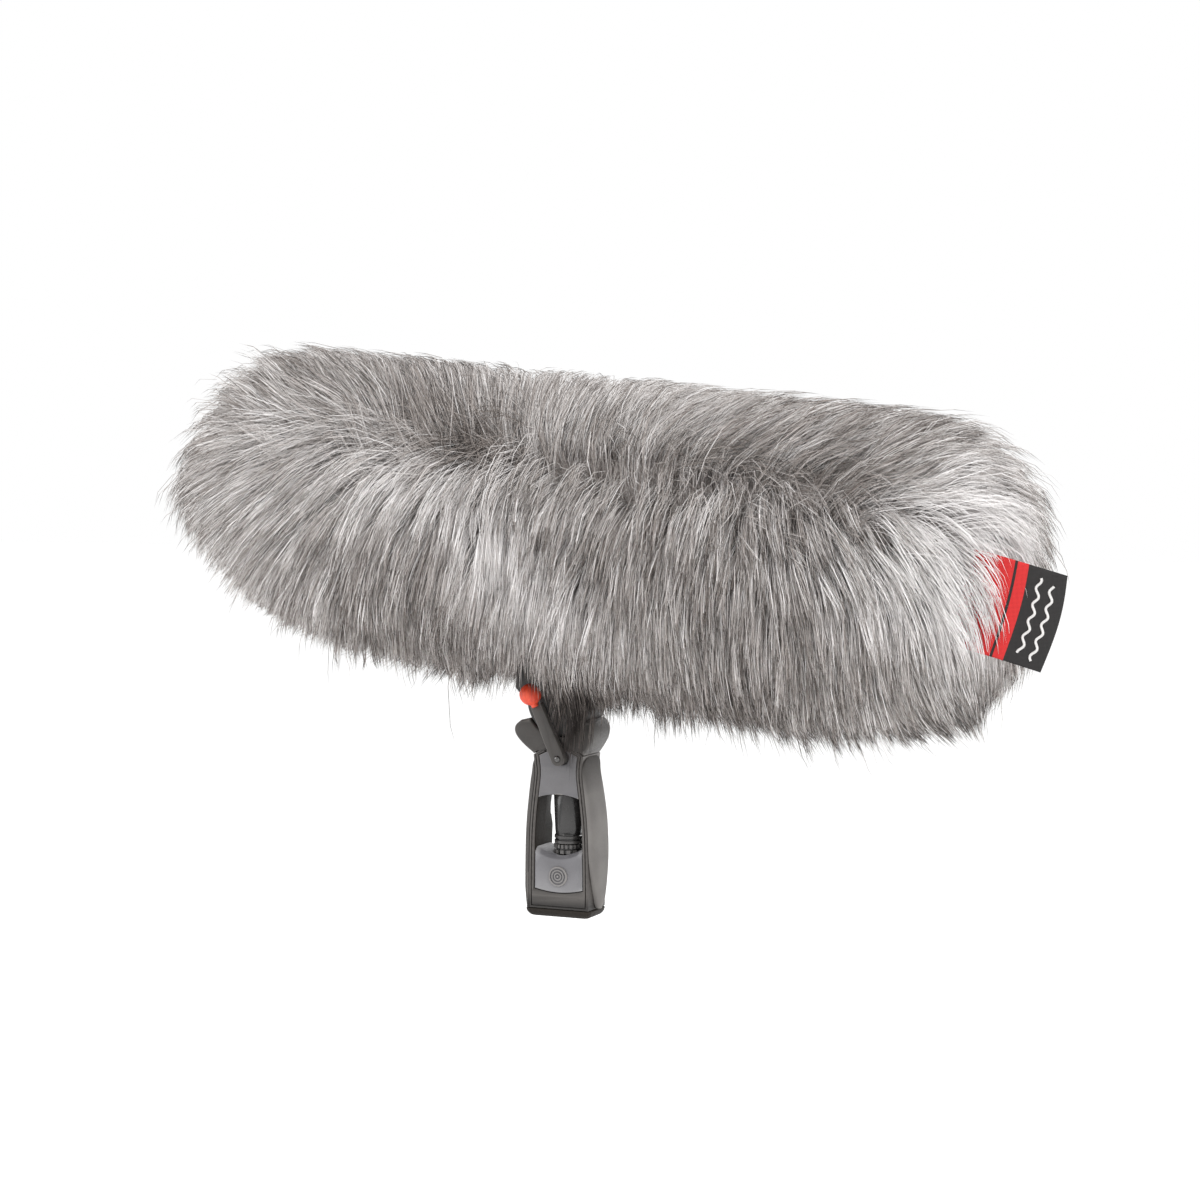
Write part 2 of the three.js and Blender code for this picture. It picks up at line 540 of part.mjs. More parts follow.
// The fur cover: a sleeve, a panel at each end, a bound hole for the neck, and a zip behind it.
function addFur() {
  const place = (shape) => aimed(shape, 'x').translate([MIDDLE, 0, AXIS_HEIGHT]);
  const sleeve = turned([[CLOTH_RADIUS, -SLEEVE_HALF], [FUR_RADIUS, -SLEEVE_HALF], [FUR_RADIUS, SLEEVE_HALF],
    [CLOTH_RADIUS, SLEEVE_HALF]], 32);
  const [halfX, halfY] = NECK_OPENING;
  const opening = box([-halfX, -halfY, -10], [halfX, halfY, 80]);
  const zipSlot = box([halfX - 1, -ZIP_HALF_WIDTH, -10], [ZIP_END, ZIP_HALF_WIDTH, 80]);
  add(leaning, 'fur_sleeve', place(sleeve).subtract(opening).subtract(zipSlot), 'fur');

  const seam = SLEEVE_HALF + GAP;
  const seamAngle = THREE.MathUtils.radToDeg(Math.asin((seam - DOME_CENTRE) / CLOTH_RADIUS));
  const bowl = arc([0, DOME_CENTRE], CLOTH_RADIUS, 90, seamAngle, 8);
  const round = arc([FUR_RADIUS - END_ROUND, FUR_HALF - END_ROUND], END_ROUND, 0, 90, 6);
  const panel = turned([...bowl, [FUR_RADIUS, seam], ...round, [0, FUR_HALF]], 32);
  add(leaning, 'fur_panel_front', place(panel.mirror([0, 0, 1])), 'fur');
  add(leaning, 'fur_panel_rear', place(panel).subtract(label(GAP)), 'fur');
  add(leaning, 'side_label', label(0), 'label');

  const binding = box([-halfX + 0.4, -halfY + 0.4, 44], [halfX - 0.4, halfY - 0.4, 48])
    .subtract(box([-halfX + 4, -halfY + 3.5, 40], [halfX - 4, halfY - 3.5, 50]));
  add(leaning, 'neck_binding', binding, 'tape');
}

function label(grow) {
  const [width, thick, height] = LABEL_SIZE;
  return box([-width - grow, -thick / 2 - grow, -height / 2 - grow], [grow, thick / 2 + grow, height / 2 + grow])
    .rotate([0, LABEL_TURN, 0])
    .translate(LABEL_EDGE);
}

function addZip() {
  const cloth = AXIS_HEIGHT - CLOTH_RADIUS; // height of the cover's cloth, under the basket
  const end = ZIP_END - GAP;
  const teeth = Math.floor((end - ZIP_START) / TOOTH_PITCH);
  const [tip, gap, back] = TOOTH_DEPTH;
  const [tapeTop, tapeLow] = TAPE_UNDER;
  for (const [name, side] of [['near', -1], ['far', 1]]) {
    const edges = [side * TAPE_EDGE, side * (ZIP_HALF_WIDTH - GAP)].sort((a, b) => a - b);
    const tape = box([ZIP_START, edges[0], cloth - tapeLow], [end, edges[1], cloth - tapeTop]);
    add(leaning, `zip_tape_${name}`, tape, 'tape');
    const comb = [];
    for (let k = 0; k < teeth; k += 1) {
      const x = ZIP_START + k * TOOTH_PITCH;
      const half = TOOTH_PITCH / 2;
      comb.push([x, tip], [x + half, tip], [x + half, gap], [x + TOOTH_PITCH, gap]);
    }
    const outline = [...comb, [ZIP_START + teeth * TOOTH_PITCH, back], [ZIP_START, back]];
    const shape = new THREE.Shape(outline.map(([x, y]) => new THREE.Vector2(x, side * y)));
    const row = new THREE.ExtrudeGeometry(shape, { depth: tapeLow, bevelEnabled: false });
    add(leaning, `zip_teeth_${name}`, solid(row.translate(0, 0, cloth - TEETH_UNDER)), 'tape');
  }
  const [stopTop, stopLow] = STOP_UNDER;
  const stop = box([ZIP_START + 1, -3, cloth - stopLow], [ZIP_START + 5, 3, cloth - stopTop]);
  add(leaning, 'zip_stop', stop, 'steel');

  const [long, wide, high] = SLIDER_SIZE.map((size, k) => (k < 2 ? size / 2 : size));
  const under = cloth - SLIDER_UNDER - high;
  const lugLow = under - 2 * LUG_DROP;
  const [lugStart, lugEnd] = [SLIDER_PLACE - LUG_HALF, SLIDER_PLACE + LUG_HALF];
  const lug = (from, to) => box([lugStart, from, lugLow], [lugEnd, to, under + GAP]);
  const hinge = [SLIDER_PLACE, 0, under - LUG_DROP];
  const slider = box([SLIDER_PLACE - long, -wide, under], [SLIDER_PLACE + long, wide, under + high])
    .add(lug(-LUG_OUTER, -LUG_INNER))
    .add(lug(LUG_INNER, LUG_OUTER))
    .add(bar('y', HINGE_RADIUS, -LUG_INNER - GAP, LUG_INNER + GAP, hinge, 10));
  add(leaning, 'zip_slider', slider, 'steel');

  const [eyeOuter, eyeInner] = PULL_EYE;
  const neck = 3.6; // where the tab widens, clear of the lugs
  const tab = box([-PULL_THICK, -PULL_STEM, -neck - GAP], [PULL_THICK, PULL_STEM, eyeOuter])
    .add(box([-PULL_THICK, -PULL_WIDTH, -PULL_LENGTH], [PULL_THICK, PULL_WIDTH, -neck]))
    .add(bar('y', eyeOuter, -PULL_STEM, PULL_STEM, [0, 0, 0], 12))
    .subtract(bar('y', eyeInner, -PULL_STEM - 1, PULL_STEM + 1, [0, 0, 0], 12))
    .subtract(box([-eyeOuter - 1, -PULL_STEM - 1, 0.9], [eyeOuter + 1, PULL_STEM + 1, eyeOuter + 1]));
  add(leaning, 'zip_pull', tab.rotate([0, -BASKET_LEAN, 0]).translate(hinge), 'steel');
}

addBase();
addGrip();
addPads();
addBlock();
addConnector();
addHead();
addClamp();
addNeck();
addSuspension('front', -SHOE_PLACE);
addSuspension('rear', SHOE_PLACE);
addTube();
addCap('front', -1);
addCap('rear', 1);
addFur();
addZip();

export default root;
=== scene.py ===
import math

import bmesh
import bpy
import numpy as np
from mathutils import Matrix, Vector


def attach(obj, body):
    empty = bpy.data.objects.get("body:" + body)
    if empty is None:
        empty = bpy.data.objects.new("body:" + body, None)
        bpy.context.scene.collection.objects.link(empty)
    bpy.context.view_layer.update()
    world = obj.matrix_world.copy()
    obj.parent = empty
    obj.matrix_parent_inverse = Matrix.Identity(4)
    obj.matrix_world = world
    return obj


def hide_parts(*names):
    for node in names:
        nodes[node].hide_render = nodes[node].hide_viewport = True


# A furry windscreen on a pistol grip: the looks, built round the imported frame.
# Metres. The frame's origin is the middle of the grip's base, +Z runs up the grip,
# +X points to the rear end of the basket and -Y is the lever side.

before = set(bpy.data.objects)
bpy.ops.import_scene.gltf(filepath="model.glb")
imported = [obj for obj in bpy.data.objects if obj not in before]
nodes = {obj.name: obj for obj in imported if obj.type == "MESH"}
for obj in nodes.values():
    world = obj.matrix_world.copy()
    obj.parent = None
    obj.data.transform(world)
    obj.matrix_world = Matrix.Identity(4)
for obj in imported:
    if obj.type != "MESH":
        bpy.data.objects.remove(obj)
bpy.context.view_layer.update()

MM = 0.001

# The leaning frame of everything above the tilt axle.
AXLE_HEIGHT = 132 * MM
BASKET_LEAN = math.radians(6)
LEANING = Matrix.Translation((0, 0, AXLE_HEIGHT)) @ Matrix.Rotation(BASKET_LEAN, 4, "Y")

# The basket's axis and the fur cover, in the leaning frame.
AXIS_HEIGHT = 101 * MM
MIDDLE = 8 * MM
CORE_HALF = 196 * MM  # the coat is a fixed distance off a round core, so its ends are flat with round rims
CORE_RADIUS = 12 * MM
CLOTH_RADIUS = 53 * MM
COAT_RADIUS = 65 * MM  # the dense undercoat's surface
ROOT_RADIUS = 62 * MM
NECK_OPENING = (36 * MM, 18 * MM)
ZIP_SLOT = (35 * MM, 196 * MM, 8 * MM)

# Camera
CAMERA_PLACE = Vector((0.6528, -1.4170, 0.2830))
CAMERA_AZIMUTH = math.radians(24)
CAMERA_DROP = math.radians(3.327)
CAMERA_LENS = 77.4


def placed(name, data):
    """A new object in the scene."""
    item = bpy.data.objects.new(name, data)
    bpy.context.scene.collection.objects.link(item)
    return item


def add_camera():
    data = bpy.data.cameras.new("camera")
    data.sensor_width = 36
    data.lens = CAMERA_LENS
    data.clip_end = 20
    camera = placed("camera", data)
    camera.location = CAMERA_PLACE
    look = Vector((-math.sin(CAMERA_AZIMUTH) * math.cos(CAMERA_DROP),
                   math.cos(CAMERA_AZIMUTH) * math.cos(CAMERA_DROP),
                   -math.sin(CAMERA_DROP)))
    camera.rotation_euler = look.to_track_quat("-Z", "Y").to_euler()
    bpy.context.scene.camera = camera


# ---------------------------------------------------------------- materials

def linear(level):
    """A colour level from 0 to 255 as the shader's linear value."""
    share = level / 255
    return share / 12.92 if share <= 0.04045 else ((share + 0.055) / 1.055) ** 2.4


def colour(red, green, blue):
    return (linear(red), linear(green), linear(blue), 1)


class Nodes:
    """A material's node tree, with short calls to add and link nodes."""

    def __init__(self, name):
        self.material = bpy.data.materials.new(name)
        self.material.use_nodes = True
        self.tree = self.material.node_tree
        self.shader = self.tree.nodes["Principled BSDF"]

    def add(self, kind, **settings):
        node = self.tree.nodes.new(kind)
        for key, value in settings.items():
            setattr(node, key, value)
        return node

    def link(self, source, target):
        self.tree.links.new(source, target)

    def place(self, scale=(1, 1, 1), rotation=(0, 0, 0)):
        """Object coordinates, turned and scaled."""
        mapping = self.add("ShaderNodeMapping")
        mapping.inputs["Scale"].default_value = scale
        mapping.inputs["Rotation"].default_value = rotation
        self.link(self.add("ShaderNodeTexCoord").outputs["Object"], mapping.inputs["Vector"])
        return mapping.outputs["Vector"]

    def noise(self, vector, scale, detail=4, roughness=0.55):
        node = self.add("ShaderNodeTexNoise")
        node.inputs["Scale"].default_value = scale
        node.inputs["Detail"].default_value = detail
        node.inputs["Roughness"].default_value = roughness
        self.link(vector, node.inputs["Vector"])
        return node.outputs["Fac"]

    def ramp(self, value, stops):
        node = self.add("ShaderNodeValToRGB")
        elements = node.color_ramp.elements
        while len(elements) < len(stops):
            elements.new(0.5)
        for element, (place, tone) in zip(elements, stops):
            element.position = place
            element.color = tone
        self.link(value, node.inputs["Fac"])
        return node.outputs["Color"]

    def spread(self, value, low, high, start=0.3, end=0.7):
        """Low where the value is at its start, and high at its end."""
        node = self.add("ShaderNodeMapRange")
        for name, number in (("From Min", start), ("From Max", end), ("To Min", low), ("To Max", high)):
            node.inputs[name].default_value = number
        self.link(value, node.inputs["Value"])
        return node.outputs["Result"]

    def blended(self, share, first, second):
        """The first colour where the share is 0, and the second where it is 1."""
        mix = self.add("ShaderNodeMix", data_type="RGBA")
        for name, tone in (("A", first), ("B", second)):
            if isinstance(tone, tuple):
                mix.inputs[name].default_value = tone
            else:
                self.link(tone, mix.inputs[name])
        self.link(share, mix.inputs["Factor"])
        return mix.outputs["Result"]

    def bump(self, height, strength, distance):
        node = self.add("ShaderNodeBump")
        node.inputs["Strength"].default_value = strength
        node.inputs["Distance"].default_value = distance
        self.link(height, node.inputs["Height"])
        self.link(node.outputs["Normal"], self.shader.inputs["Normal"])


def moulded(name, dark, light, roughness, grain=900, bump=0.25, worn=None, fade=None, shine=0.5):
    """Moulded plastic or rubber: a fine grain, mottled colour, and edges rubbed lighter. A fade is painted
    shade: a tone that it has at one height, and the height at which the tone is gone."""
    made = Nodes(name)
    vector = made.place()
    cloudy = made.noise(vector, 45)
    grainy = made.noise(vector, grain, 2)
    base = made.ramp(cloudy, [(0.3, dark), (0.7, light)])
    if worn is not None:
        edge = made.add("ShaderNodeNewGeometry").outputs["Pointiness"]
        rubbed = made.ramp(edge, [(0.52, (0, 0, 0, 1)), (0.6, (1, 1, 1, 1))])
        base = made.blended(rubbed, base, worn)
    # painted shade: the colour takes the fade's tone at one height, easing back to its own by the other
    if fade is not None:
        tone, full, gone = fade
        split = made.add("ShaderNodeSeparateXYZ")
        made.link(vector, split.inputs["Vector"])
        base = made.blended(made.spread(split.outputs["Z"], 0, 1, full * MM, gone * MM), tone, base)
    made.shader.inputs["Specular IOR Level"].default_value = shine
    made.link(base, made.shader.inputs["Base Color"])
    made.link(made.spread(grainy, roughness - 0.08, roughness + 0.1), made.shader.inputs["Roughness"])
    made.bump(grainy, bump, 0.0002)
    return made.material


def brushed(name, dark, light, roughness, along=(1, 1, 12), metallic=1):
    """Metal with fine brush lines."""
    made = Nodes(name)
    made.shader.inputs["Metallic"].default_value = metallic
    lines = made.noise(made.place(scale=along), 700, 3)
    made.link(made.ramp(lines, [(0.3, dark), (0.7, light)]), made.shader.inputs["Base Color"])
    made.link(made.spread(lines, roughness - 0.06, roughness + 0.1), made.shader.inputs["Roughness"])
    made.bump(lines, 0.15, 0.0001)
    return made.material


def woven(name, dark, light, pitch, roughness=0.85):
    """Woven cloth: two sets of threads, one over the other."""
    made = Nodes(name)
    vector = made.place()
    threads = []
    for direction in ("X", "Z"):
        wave = made.add("ShaderNodeTexWave", bands_direction=direction)
        wave.inputs["Scale"].default_value = math.pi / pitch / 10
        made.link(vector, wave.inputs["Vector"])
        threads.append(wave.outputs["Fac"])
    mix = made.add("ShaderNodeMath", operation="MAXIMUM")
    made.link(threads[0], mix.inputs[0])
    made.link(threads[1], mix.inputs[1])
    made.link(made.ramp(mix.outputs["Value"], [(0.2, dark), (0.9, light)]), made.shader.inputs["Base Color"])
    made.shader.inputs["Roughness"].default_value = roughness
    made.bump(mix.outputs["Value"], 0.5, 0.0003)
    return made.material


# ---------------------------------------------------------------- shapes

def show(name, mesh, materials, body, transform=None):
    """A mesh as a named piece that rides on a body."""
    if transform is not None:
        mesh.transform(transform)
    for material in materials:
        mesh.materials.append(material)
    piece = placed(name, mesh)
    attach(piece, body)
    return piece


def thickened(piece, thickness, offset):
    solid = piece.modifiers.new("thickness", "SOLIDIFY")
    solid.thickness = thickness
    solid.offset = offset


def finished_mesh(holder):
    """The mesh that a scratch object comes to. The object is removed."""
    bpy.context.view_layer.update()
    mesh = bpy.data.meshes.new_from_object(holder.evaluated_get(bpy.context.evaluated_depsgraph_get()))
    bpy.data.objects.remove(holder)
    return mesh


def unit(vectors):
    return vectors / np.maximum(np.linalg.norm(vectors, axis=-1, keepdims=True), 1e-9)


# ---------------------------------------------------------------- hard parts, drawn in millimetres

UPRIGHT = Matrix.Scale(MM, 4)
TILTED = LEANING @ Matrix.Scale(MM, 4)
CLEAR = 0.3  # between pieces that touch
SHARP_EDGE = math.radians(38)  # an edge that turns more than this isn't shaded smooth
GRIP_HALF = 13
GRIP_SHOULDER = 99
GRIP_APEX = 109
BASE_TOP = 5
FRAME_EDGE = [(5, 19.6), (20, 19.8), (45, 19.4), (60, 18.6), (75, 17), (88, 15.6), (99, 16.6)]
RIM = 3.6
PAD_DEPTH = 4.2
PADS = {"front": (-1, 5.3, 97), "rear": (1, 5.6, 98)}
FRONT_PAD_FOOT = 27  # the front pad looks like the frame below this
BASE_ENDS = (-22.8, 20.8)
BASE_CORNER = 3.6
CHEEK_RECESS = 1.9
CHEEK_THICK = 1.5
WINDOW_LOW = 17.4
WINDOW_SAG = 2.2
WINDOW_HIGH = 75
ARCH_RISE = 2.2
BLOCK_TOP = 42.5
INSERT_RADIUS = 7.8
INSERT_HEIGHT = 14.3
CONNECTOR_RADIUS = 9.4
CONNECTOR_X = 1.5
CONNECTOR_LOW = 34.5
CONNECTOR_HIGH = 82
COLLAR_LOW = 38.5
COLLAR_HIGH = 44.3
BADGE_HEIGHT = 25.5
BADGE_RADIUS = 6
CAM_PLACE = (2.5, 0, 97.7)
LEVER_LEAN = math.radians(24.4)
LEVER_LENGTH = 42.2
LEVER_FACE = -15.2
LEVER_THICK = 4.6
PIN_RADIUS = 1.9
KNOB_RADIUS = 6.6
KNOB_Y = -20.4
AXLE = 132
HOLLOW_RADIUS = 21.8
DRUM_RADIUS = 21.3
NECK_HALF = 12
NECK_SIDE = [(30, 4), (30, 15), (24, 30), (24, 50.6)]
DRUM_EDGE = 12
ROD_HALF = 3.2
CAM_HOLE = 4.4
ROD_EYE = 9.9  # room round the rod's eye
REAR_WING = [(20, 104.5), (22.4, 109), (23.3, 113), (23, 116.6), (21.5, 119.6)]
FRONT_WING = [(23, 104.5), (27.5, 109), (29.4, 113), (28.6, 116.6), (25, 119.6)]
WINDOW_FLARE = 2.6  # the window widens towards the far face, above FLARE_FOOT
FLARE_FOOT = 52
FLARE_CLIMB = 12
PAD_SWELL = 0.42  # share of its height, from the top, over which it thickens
PAD_TAPER = 0.42  # share of the rear pad's height over which its foot widens


def smooth_line(points, steps):
    """A curve through the points, eased between them."""
    points = np.array(points, float)
    ends = np.vstack([2 * points[0] - points[1], points, 2 * points[-1] - points[-2]])
    made = []
    for k in range(len(points) - 1):
        before, start, end, after = ends[k:k + 4]
        for t in np.linspace(0, 1, steps, endpoint=False):
            bend = 2 * before - 5 * start + 4 * end - after
            twist = 3 * start - before - 3 * end + after
            made.append(0.5 * (2 * start + (end - before) * t + bend * t ** 2 + twist * t ** 3))
    return np.array(made + [points[-1]])


EDGE_LINE = smooth_line(FRAME_EDGE, 8)


def half_depth(z):
    return float(np.interp(z, EDGE_LINE[:, 0], EDGE_LINE[:, 1]))


def edge(grow, low, high, steps=24):
    return [(half_depth(z) + grow, z) for z in np.linspace(low, high, steps)]


def arc(centre, radius, first, last, steps=24):
    angles = np.radians(np.linspace(first, last, steps))
    return [(centre[0] + radius * math.cos(a), centre[1] + radius * math.sin(a)) for a in angles]


def both_sides(side, *top):
    return [*side, *top, *[(-x, z) for x, z in reversed(side)]]


def cleaned(mesh):
    """Joined where vertices meet, and facing out."""
    shape = bmesh.new()
    shape.from_mesh(mesh)
    bmesh.ops.remove_doubles(shape, verts=shape.verts, dist=1e-4)
    bmesh.ops.dissolve_degenerate(shape, dist=1e-5, edges=shape.edges)
    bmesh.ops.recalc_face_normals(shape, faces=shape.faces)
    shape.to_mesh(mesh)
    shape.free()
    return mesh


def plate(outlines, first, last, rounding):
    """Outlines in the x-z plane, the later ones holes in the first, as a plate from one y to the other,
    with every edge rounded."""
    half = abs(last - first) / 2
    curve = bpy.data.curves.new("outline", "CURVE")
    curve.dimensions = "2D"
    curve.fill_mode = "BOTH"
    curve.extrude = half - rounding
    curve.bevel_depth = rounding
    curve.bevel_resolution = 2
    curve.offset = -rounding
    for outline in outlines:
        spline = curve.splines.new("POLY")
        spline.points.add(len(outline) - 1)
        for point, (x, z) in zip(spline.points, outline):
            point.co = (x, z, 0, 1)
        spline.use_cyclic_u = True
    mesh = finished_mesh(placed("outline", curve))
    stand = Matrix(((1, 0, 0, 0), (0, 0, -1, (first + last) / 2), (0, 1, 0, 0), (0, 0, 0, 1)))
    mesh.transform(stand)
    return cleaned(mesh)


def round_bar(radius, low, high, centre, axis="Y", steps=48):
    """A round bar along y or z."""
    mesh = turned([(0, low), (radius, low), (radius, high), (0, high)], steps)
    turn = Matrix.Identity(4) if axis == "Z" else Matrix.Rotation(-math.pi / 2, 4, "X")
    mesh.transform(Matrix.Translation(centre) @ turn)
    return mesh


def turned(profile, steps=64):
    """A profile of radius and height, turned about z. One that starts off the axis closes on itself."""
    closed = profile[0][0] > 0
    rings = len(profile)
    points, faces = [], []
    for k in range(steps):
        angle = 2 * math.pi * k / steps
        points += [(radius * math.cos(angle), radius * math.sin(angle), z) for radius, z in profile]
    for k in range(steps):
        after = (k + 1) % steps
        for i in range(rings if closed else rings - 1):
            j = (i + 1) % rings
            faces.append((k * rings + i, after * rings + i, after * rings + j, k * rings + j))
    mesh = bpy.data.meshes.new("turned")
    mesh.from_pydata(points, [], faces)
    return cleaned(mesh)


def lofted(sections):
    """Closed sections, one after the other, skinned and capped."""
    count = len(sections[0])
    points = [point for section in sections for point in section]
    faces = []
    for k in range(len(sections) - 1):
        for i in range(count):
            j = (i + 1) % count
            faces.append((k * count + i, k * count + j, (k + 1) * count + j, (k + 1) * count + i))
    last = (len(sections) - 1) * count
    faces += [tuple(range(count)), tuple(reversed(range(last, last + count)))]
    mesh = bpy.data.meshes.new("lofted")
    mesh.from_pydata(points, [], faces)
    return cleaned(mesh)


def boolean(operation, mesh, *others):
    """The mesh joined with or cut by the others."""
    base = placed("base", mesh)
    tools = [placed("tool", other) for other in others]
    for tool in tools:
        change = base.modifiers.new("change", "BOOLEAN")
        change.operation = operation
        change.solver = "EXACT"
        change.object = tool
    made = finished_mesh(base)
    for tool in tools:
        bpy.data.objects.remove(tool)
    return cleaned(made)


def cut(mesh, *others):
    return boolean("DIFFERENCE", mesh, *others)


def box_mesh(low, high):
    x, y, z = zip(low, high)
    corners = [(x[0], y[0]), (x[1], y[0]), (x[1], y[1]), (x[0], y[1])]
    return lofted([[(*corner, height) for corner in corners] for height in z])


def stand_for(name, mesh, slot, body="grip", transform=UPRIGHT, look=None):
    """A finished piece in place of the CAD node of that name. Its look is its slot's, unless one is named."""
    mesh.shade_smooth()
    mesh.set_sharp_from_angle(angle=SHARP_EDGE)
    piece = show(name + "_finished", mesh, [LOOKS[look or slot]], body, transform)
    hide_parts(name)
    return piece


def circle(x, z, radius, steps=40):
    return arc((x, z), radius, 0, 360 - 360 / steps, steps)


def sagging(half, z, depth, steps=15):
    """Points along a shallow arc, between but not at its ends, from -half to half."""
    return [(half * t, z - depth * (1 - t * t)) for t in np.linspace(-1, 1, steps + 2)[1:-1]]


ARCH_FOOT = WINDOW_HIGH - ARCH_RISE
ARCH_HALF = half_depth(ARCH_FOOT) - RIM
ARCH = [(x, z) for x, z in reversed(sagging(ARCH_HALF, ARCH_FOOT, -ARCH_RISE))]
WINDOW_FOOT = sagging(half_depth(WINDOW_LOW) - RIM, WINDOW_LOW, WINDOW_SAG)
SHELL_SCREWS = [(-10, 12), (10, 12), (-17.5, 50), (17.5, 50)]
SCREW_HEAD = 1.65
SCREW_SHANK = 1
SHELL_LAP = 9
SHELL_ROUNDING = 0.7
ROD_SLOT = (11, 10.5)  # half the width of the slot that the clamp's rod turns in, and its depth below the cam
SEAM_GROOVE = (1.4, 2.1)  # a fine groove runs round the rim, between these distances from its edge
GROOVE_DEPTH = 0.9


def outline_inside(by, foot=BASE_TOP + CLEAR):
    """The frame's outline, drawn in."""
    return both_sides(edge(-by, foot + by, GRIP_SHOULDER), (0, GRIP_APEX - by * 1.1))


def window_outline(grow):
    side = edge(grow - RIM, WINDOW_LOW, ARCH_FOOT)
    share = 1 + grow / ARCH_HALF
    arch = [(x * share, z + grow) for x, z in ARCH]
    return [*both_sides(side, *arch), *[(x * share, z - grow) for x, z in WINDOW_FOOT]]


def flared_window(grow):
    """The window, wider above the block's shoulders than below them."""
    widen = [grow / ARCH_HALF * min(1, max(0, (z - FLARE_FOOT) / FLARE_CLIMB)) for _, z in window_outline(0)]
    return [(x * (1 + share), z) for (x, z), share in zip(window_outline(0), widen)]


def recess_outline(grow):
    """The window and the cheek plate's recess together."""
    side = edge(grow - RIM, WINDOW_LOW, GRIP_SHOULDER)
    share = 1 + grow / ARCH_HALF
    top = (0, GRIP_APEX - RIM + 1.1 * grow)
    return [*both_sides(side, top), *[(x * share, z - grow) for x, z in WINDOW_FOOT]]


def frame_half(side):
    """Half of the grip's shell: a wall with the window through it and the cheek plate's recess in its face,
    whose edge is eased, and a fine groove round the rim."""

    def through(outline, levels):
        """An outline skinned through levels: a distance from the middle, and how much it is grown there."""
        return lofted([[(x, side * y, z) for x, z in outline(grow)] for y, grow in levels])

    face = GRIP_HALF
    shell = plate([outline_inside(0)], side * -2, side * face, SHELL_ROUNDING)
    recess = through(recess_outline, [(face - CHEEK_RECESS, 0.02), (face - 0.5, 0.02), (face - 0.2, 0.15),
                                      (face + 0.05, 0.5), (face + 1, 0.5)])
    window = through(flared_window, [(-3, 0), (3, 0), (face + 1, WINDOW_FLARE if side > 0 else 0)])
    outer, inner = SEAM_GROOVE
    groove = cut(plate([outline_inside(outer)], side * (face - GROOVE_DEPTH), side * (face + 1), 0),
                 plate([outline_inside(inner)], side * (face - 1), side * (face + 2), 0))
    middle = side * CLEAR / 2
    past = middle - side * SHELL_LAP
    cam_x, _, cam_z = CAM_PLACE
    room = ROD_HALF + CLEAR
    slot_half, slot_low = ROD_SLOT
    barrel_room = CONNECTOR_RADIUS + 2 * CLEAR
    hollows = [
        recess, window, groove,
        box_mesh((-2 * face, min(middle, past), 0), (2 * face, max(middle, past), GRIP_APEX + SHELL_LAP)),
        round_bar(INSERT_RADIUS, 0, INSERT_HEIGHT, (0, 0, 0), "Z"),
        round_bar(barrel_room, CONNECTOR_LOW, CONNECTOR_HIGH + CLEAR, (CONNECTOR_X, 0, 0), "Z"),
        round_bar(CAM_HOLE, -face - 1, 9.5, CAM_PLACE),
        box_mesh((cam_x - slot_half, -room, cam_z - slot_low), (cam_x + slot_half, room, GRIP_APEX + 1)),
    ]
    for x, z in SHELL_SCREWS:
        hollows.append(round_bar(SCREW_SHANK, -SHELL_LAP, face, (x, 0, z), steps=16))
        hollows.append(round_bar(SCREW_HEAD, face - 2, face + 1, (x, 0, z), steps=24))
    return cut(shell, *hollows)


def cheek_plate(side):
    """The cheek plate, with its edges rounded, and a hole for the cam on the near side."""
    floor = GRIP_HALF - CHEEK_RECESS
    outline = [*both_sides(edge(-RIM - CLEAR, ARCH_FOOT + CLEAR, GRIP_SHOULDER - CLEAR),
                           (0, GRIP_APEX - RIM - 2 * CLEAR)),
               *[(x, z + CLEAR) for x, z in reversed(ARCH)]]
    holes = [circle(CAM_PLACE[0], CAM_PLACE[2], CAM_HOLE)] if side < 0 else []
    return plate([outline, *holes], side * (floor + CLEAR / 2), side * (floor + CLEAR + CHEEK_THICK), 0.45)


def rubber_pad(side, low, high):
    """A soft pad round the grip's edge, full up the hand. The rear one is drawn to a point at its foot."""
    sections = []
    for along in np.linspace(0, 1, 56):
        z = low + (high - low) * along
        foot = 0.45 + 9 * along if side > 0 else 0.44 + 4 * along
        fade = min(1, foot, 7 * (1 - along)) ** 0.5
        if side > 0:
            fade *= 0.35 + 0.65 * math.sin(min(1, (1 - along) / PAD_SWELL) * math.pi / 2)
        half = GRIP_HALF - 0.25
        top = min(1, (1 - along) / 0.07)
        half *= 0.55 + 0.45 * math.sqrt(max(0, 1 - (1 - top) ** 2))
        if side > 0:
            half *= min(1, 0.12 + 0.88 * math.sin(min(1, along / PAD_TAPER) * math.pi / 2) ** 0.8)
        inner = half_depth(z) + CLEAR
        outer = inner + 0.15 + (PAD_DEPTH - 0.15) * fade
        section = []
        for a in np.linspace(-math.pi / 2, math.pi / 2, 25):
            across = math.copysign(abs(math.sin(a)) ** 0.55, a)
            out = abs(math.cos(a)) ** 0.75
            section.append((side * (inner + (outer - inner) * out), half * across, z))
        sections.append(section)
    return lofted(sections)


def rounded_block(x_low, x_high, half_y, levels, corner, steps=8):
    """Rounded rectangles stacked up z: each level is a height and how far it is drawn in."""
    sections = []
    for z, inset in levels:
        section = []
        for sx, sy, first in ((1, 1, 0), (-1, 1, 90), (-1, -1, 180), (1, -1, 270)):
            radius = max(corner - inset * 0.3, 0.2)
            cx = (x_high if sx > 0 else x_low) - sx * (radius + inset)
            cy = sy * (half_y - inset - radius)
            section += [(x, y, z) for x, y in arc((cx, cy), radius, first, first + 90, steps + 1)]
        sections.append(section)
    return lofted(sections)


